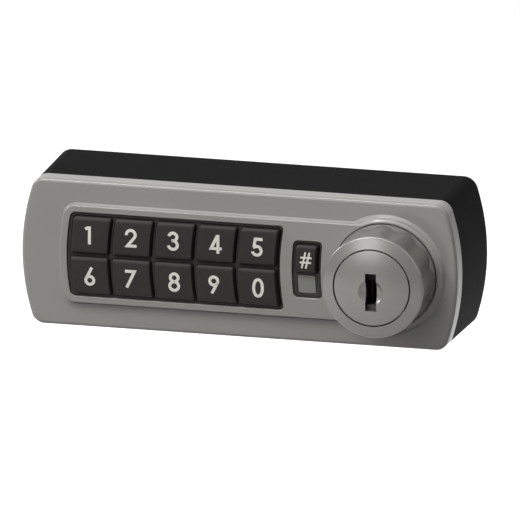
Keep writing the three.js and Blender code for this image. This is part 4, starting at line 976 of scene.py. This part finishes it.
# each screw: node, body, sizes for makeScrew, seat of its head, tilt
screws = [("cam_screw", "knob", (4.7, 2.4, 1.5, 6), (knobX, camHigh[1] + 0.1, 0), 0),
          ("lid_screw", "housing", (1.9, 0.8, 1.0, 4.5), (lidScrew[0], lidScrew[1], lid["seatZ"]), -90)]
screws += [("case_screw_" + str(i + 1), "housing", (2.5, 2.0, 1.3, 27.4), (x, -2.9, z), 0)
           for i, (x, _, z) in enumerate(caseScrews)]
for node, body, sizes, seat, tilt in screws:
    screw = makeScrew(*sizes)
    screw.data.transform(Matrix.Translation(np.array(seat) * mm) @ Matrix.Rotation(math.radians(tilt), 4, "X"))
    finishPiece(screw, node.replace("_", "") + "Fine", body, zincPlate, [node])
print("barrel, nut, cam and screws made")


# nodes that keep their CAD shape, by the start of their names
carried = {
    "cover_seal": foamSeal, "circuit_board": solderMask, "status_lamp": clearResin, "controller_chip": chipEpoxy,
    "cylinder_sleeve": turnedBrass, "wafer_": waferPaintedShade, "lead_screw": turnedBrass, "plug_clip": springSteel,
    "rotor_spindle": machinedSteel, "rotor_screw_": zincPlate, "board_screw_": zincPlate,
    "locking_bolt": groundSteel, "lock_motor": motorCan, "motor_bracket": blackAcetal, "battery_tray": blackAcetal,
    "battery_1": cellJacket, "battery_2": cellJacket, "contact_": nickelStrip,
}
for start, material in carried.items():
    for name in [name for name in nodes if name.startswith(start)]:
        nodes[name].data.materials.clear()
        nodes[name].data.materials.append(material)


studio = {
    "azimuth": 15.0, "elevation": 15.0, "orthoWidth": 0.1513, "aimRight": 6.0, "aimUp": 1.3,
    "cameraDistance": 0.9,
    "floorZ": -0.14, "floorHalf": 6000.0, "floorGlow": 0.55, "ambient": 0.02, "bounce": "#2c2c2c",
}
# each softbox: watts, width, height, azimuth (0 straight in front, positive to the right), elevation, distance
lamps = {
    "overLight": (5.8, 0.7, 0.7, 0, 74, 1.0),
    "keyLight": (5.5, 0.3, 0.3, -38, 41, 1.0),
    "frontLight": (2.3, 0.35, 0.35, -15, 16, 1.0),
    "crispLight": (4.4, 0.36, 0.1, -32, 60, 1.0),
    "leftLight": (4.5, 0.22, 0.22, -80, 26, 1.0),
    "rightLight": (2.8, 0.9, 0.9, 78, 34, 1.0),
}


def place(item, location, target):
    # an object at a point, its -Z towards the target and its Y up
    item.location = location
    item.rotation_euler = (Vector(target) - Vector(location)).to_track_quat("-Z", "Y").to_euler()
    bpy.context.scene.collection.objects.link(item)


a, e = math.radians(studio["azimuth"]), math.radians(studio["elevation"])
right = np.array([math.cos(a), math.sin(a), 0])
up = np.array([-math.sin(a) * math.sin(e), math.cos(a) * math.sin(e), math.cos(e)])
back = np.cross(right, up)
aim = (np.array([0, faceY, 0]) + right * studio["aimRight"] + up * studio["aimUp"]) * mm
camera = bpy.data.objects.new("camera", bpy.data.cameras.new("camera"))
camera.data.type = "ORTHO"
camera.data.ortho_scale = studio["orthoWidth"]
camera.data.clip_end = 20
place(camera, aim + back * studio["cameraDistance"], aim)
bpy.context.scene.camera = camera


target = np.array([0, faceY * mm, 0])
for name, (power, width, height, azimuth, elevation, distance) in lamps.items():
    lamp = bpy.data.lights.new(name, "AREA")
    lamp.shape = "RECTANGLE"
    lamp.size, lamp.size_y = width, height
    lamp.energy = power
    a, e = math.radians(azimuth), math.radians(elevation)
    way = np.array([math.sin(a) * math.cos(e), -math.cos(a) * math.cos(e), math.sin(e)])
    place(bpy.data.objects.new(name, lamp), target + way * distance, target)


def brightToEye(tree, dim, bright, output):
    # the bright shader for camera, glossy and transmission rays, the dim one for the light that falls on the lock
    rays = addNode(tree, "LightPath")
    seen = addNode(tree, "Math", {"operation": "MAXIMUM"}, {0: (rays, "Is Camera Ray"), 1: (rays, "Is Glossy Ray")})
    seen = addNode(tree, "Math", {"operation": "MAXIMUM"}, {0: (seen, 0), 1: (rays, "Is Transmission Ray")})
    choice = addNode(tree, "MixShader", links={0: (seen, 0), 1: (dim, 0), 2: (bright, 0)})
    addNode(tree, output, links={"Surface": (choice, 0)})


floorMaterial = bpy.data.materials.new("paleFloor")
tree = emptyTree(floorMaterial)
matt = addNode(tree, "BsdfDiffuse", {"Color": linear("#f2f2f2")})
dull = addNode(tree, "BsdfDiffuse", {"Color": linear(studio["bounce"])})
glow = addNode(tree, "Emission", {"Color": linear("#ffffff"), "Strength": studio["floorGlow"]})
both = addNode(tree, "AddShader", links={0: (matt, 0), 1: (glow, 0)})
brightToEye(tree, dull, both, "OutputMaterial")
half, level = studio["floorHalf"], studio["floorZ"] / mm
floor = addMesh("floor", [(-half, -half, level), (half, -half, level), (half, half, level), (-half, half, level)],
    [[0, 1, 2, 3]])
floor.data.materials.append(floorMaterial)

world = bpy.data.worlds.new("studio")
bpy.context.scene.world = world
tree = emptyTree(world)
dim = addNode(tree, "Background", {"Color": linear("#ffffff"), "Strength": studio["ambient"]})
white = addNode(tree, "Background", {"Color": linear("#ffffff"), "Strength": 1.0})
brightToEye(tree, dim, white, "OutputWorld")
bpy.context.scene.view_settings.view_transform = "Standard"
print("camera and lights ready")

bpy.context.view_layer.update()
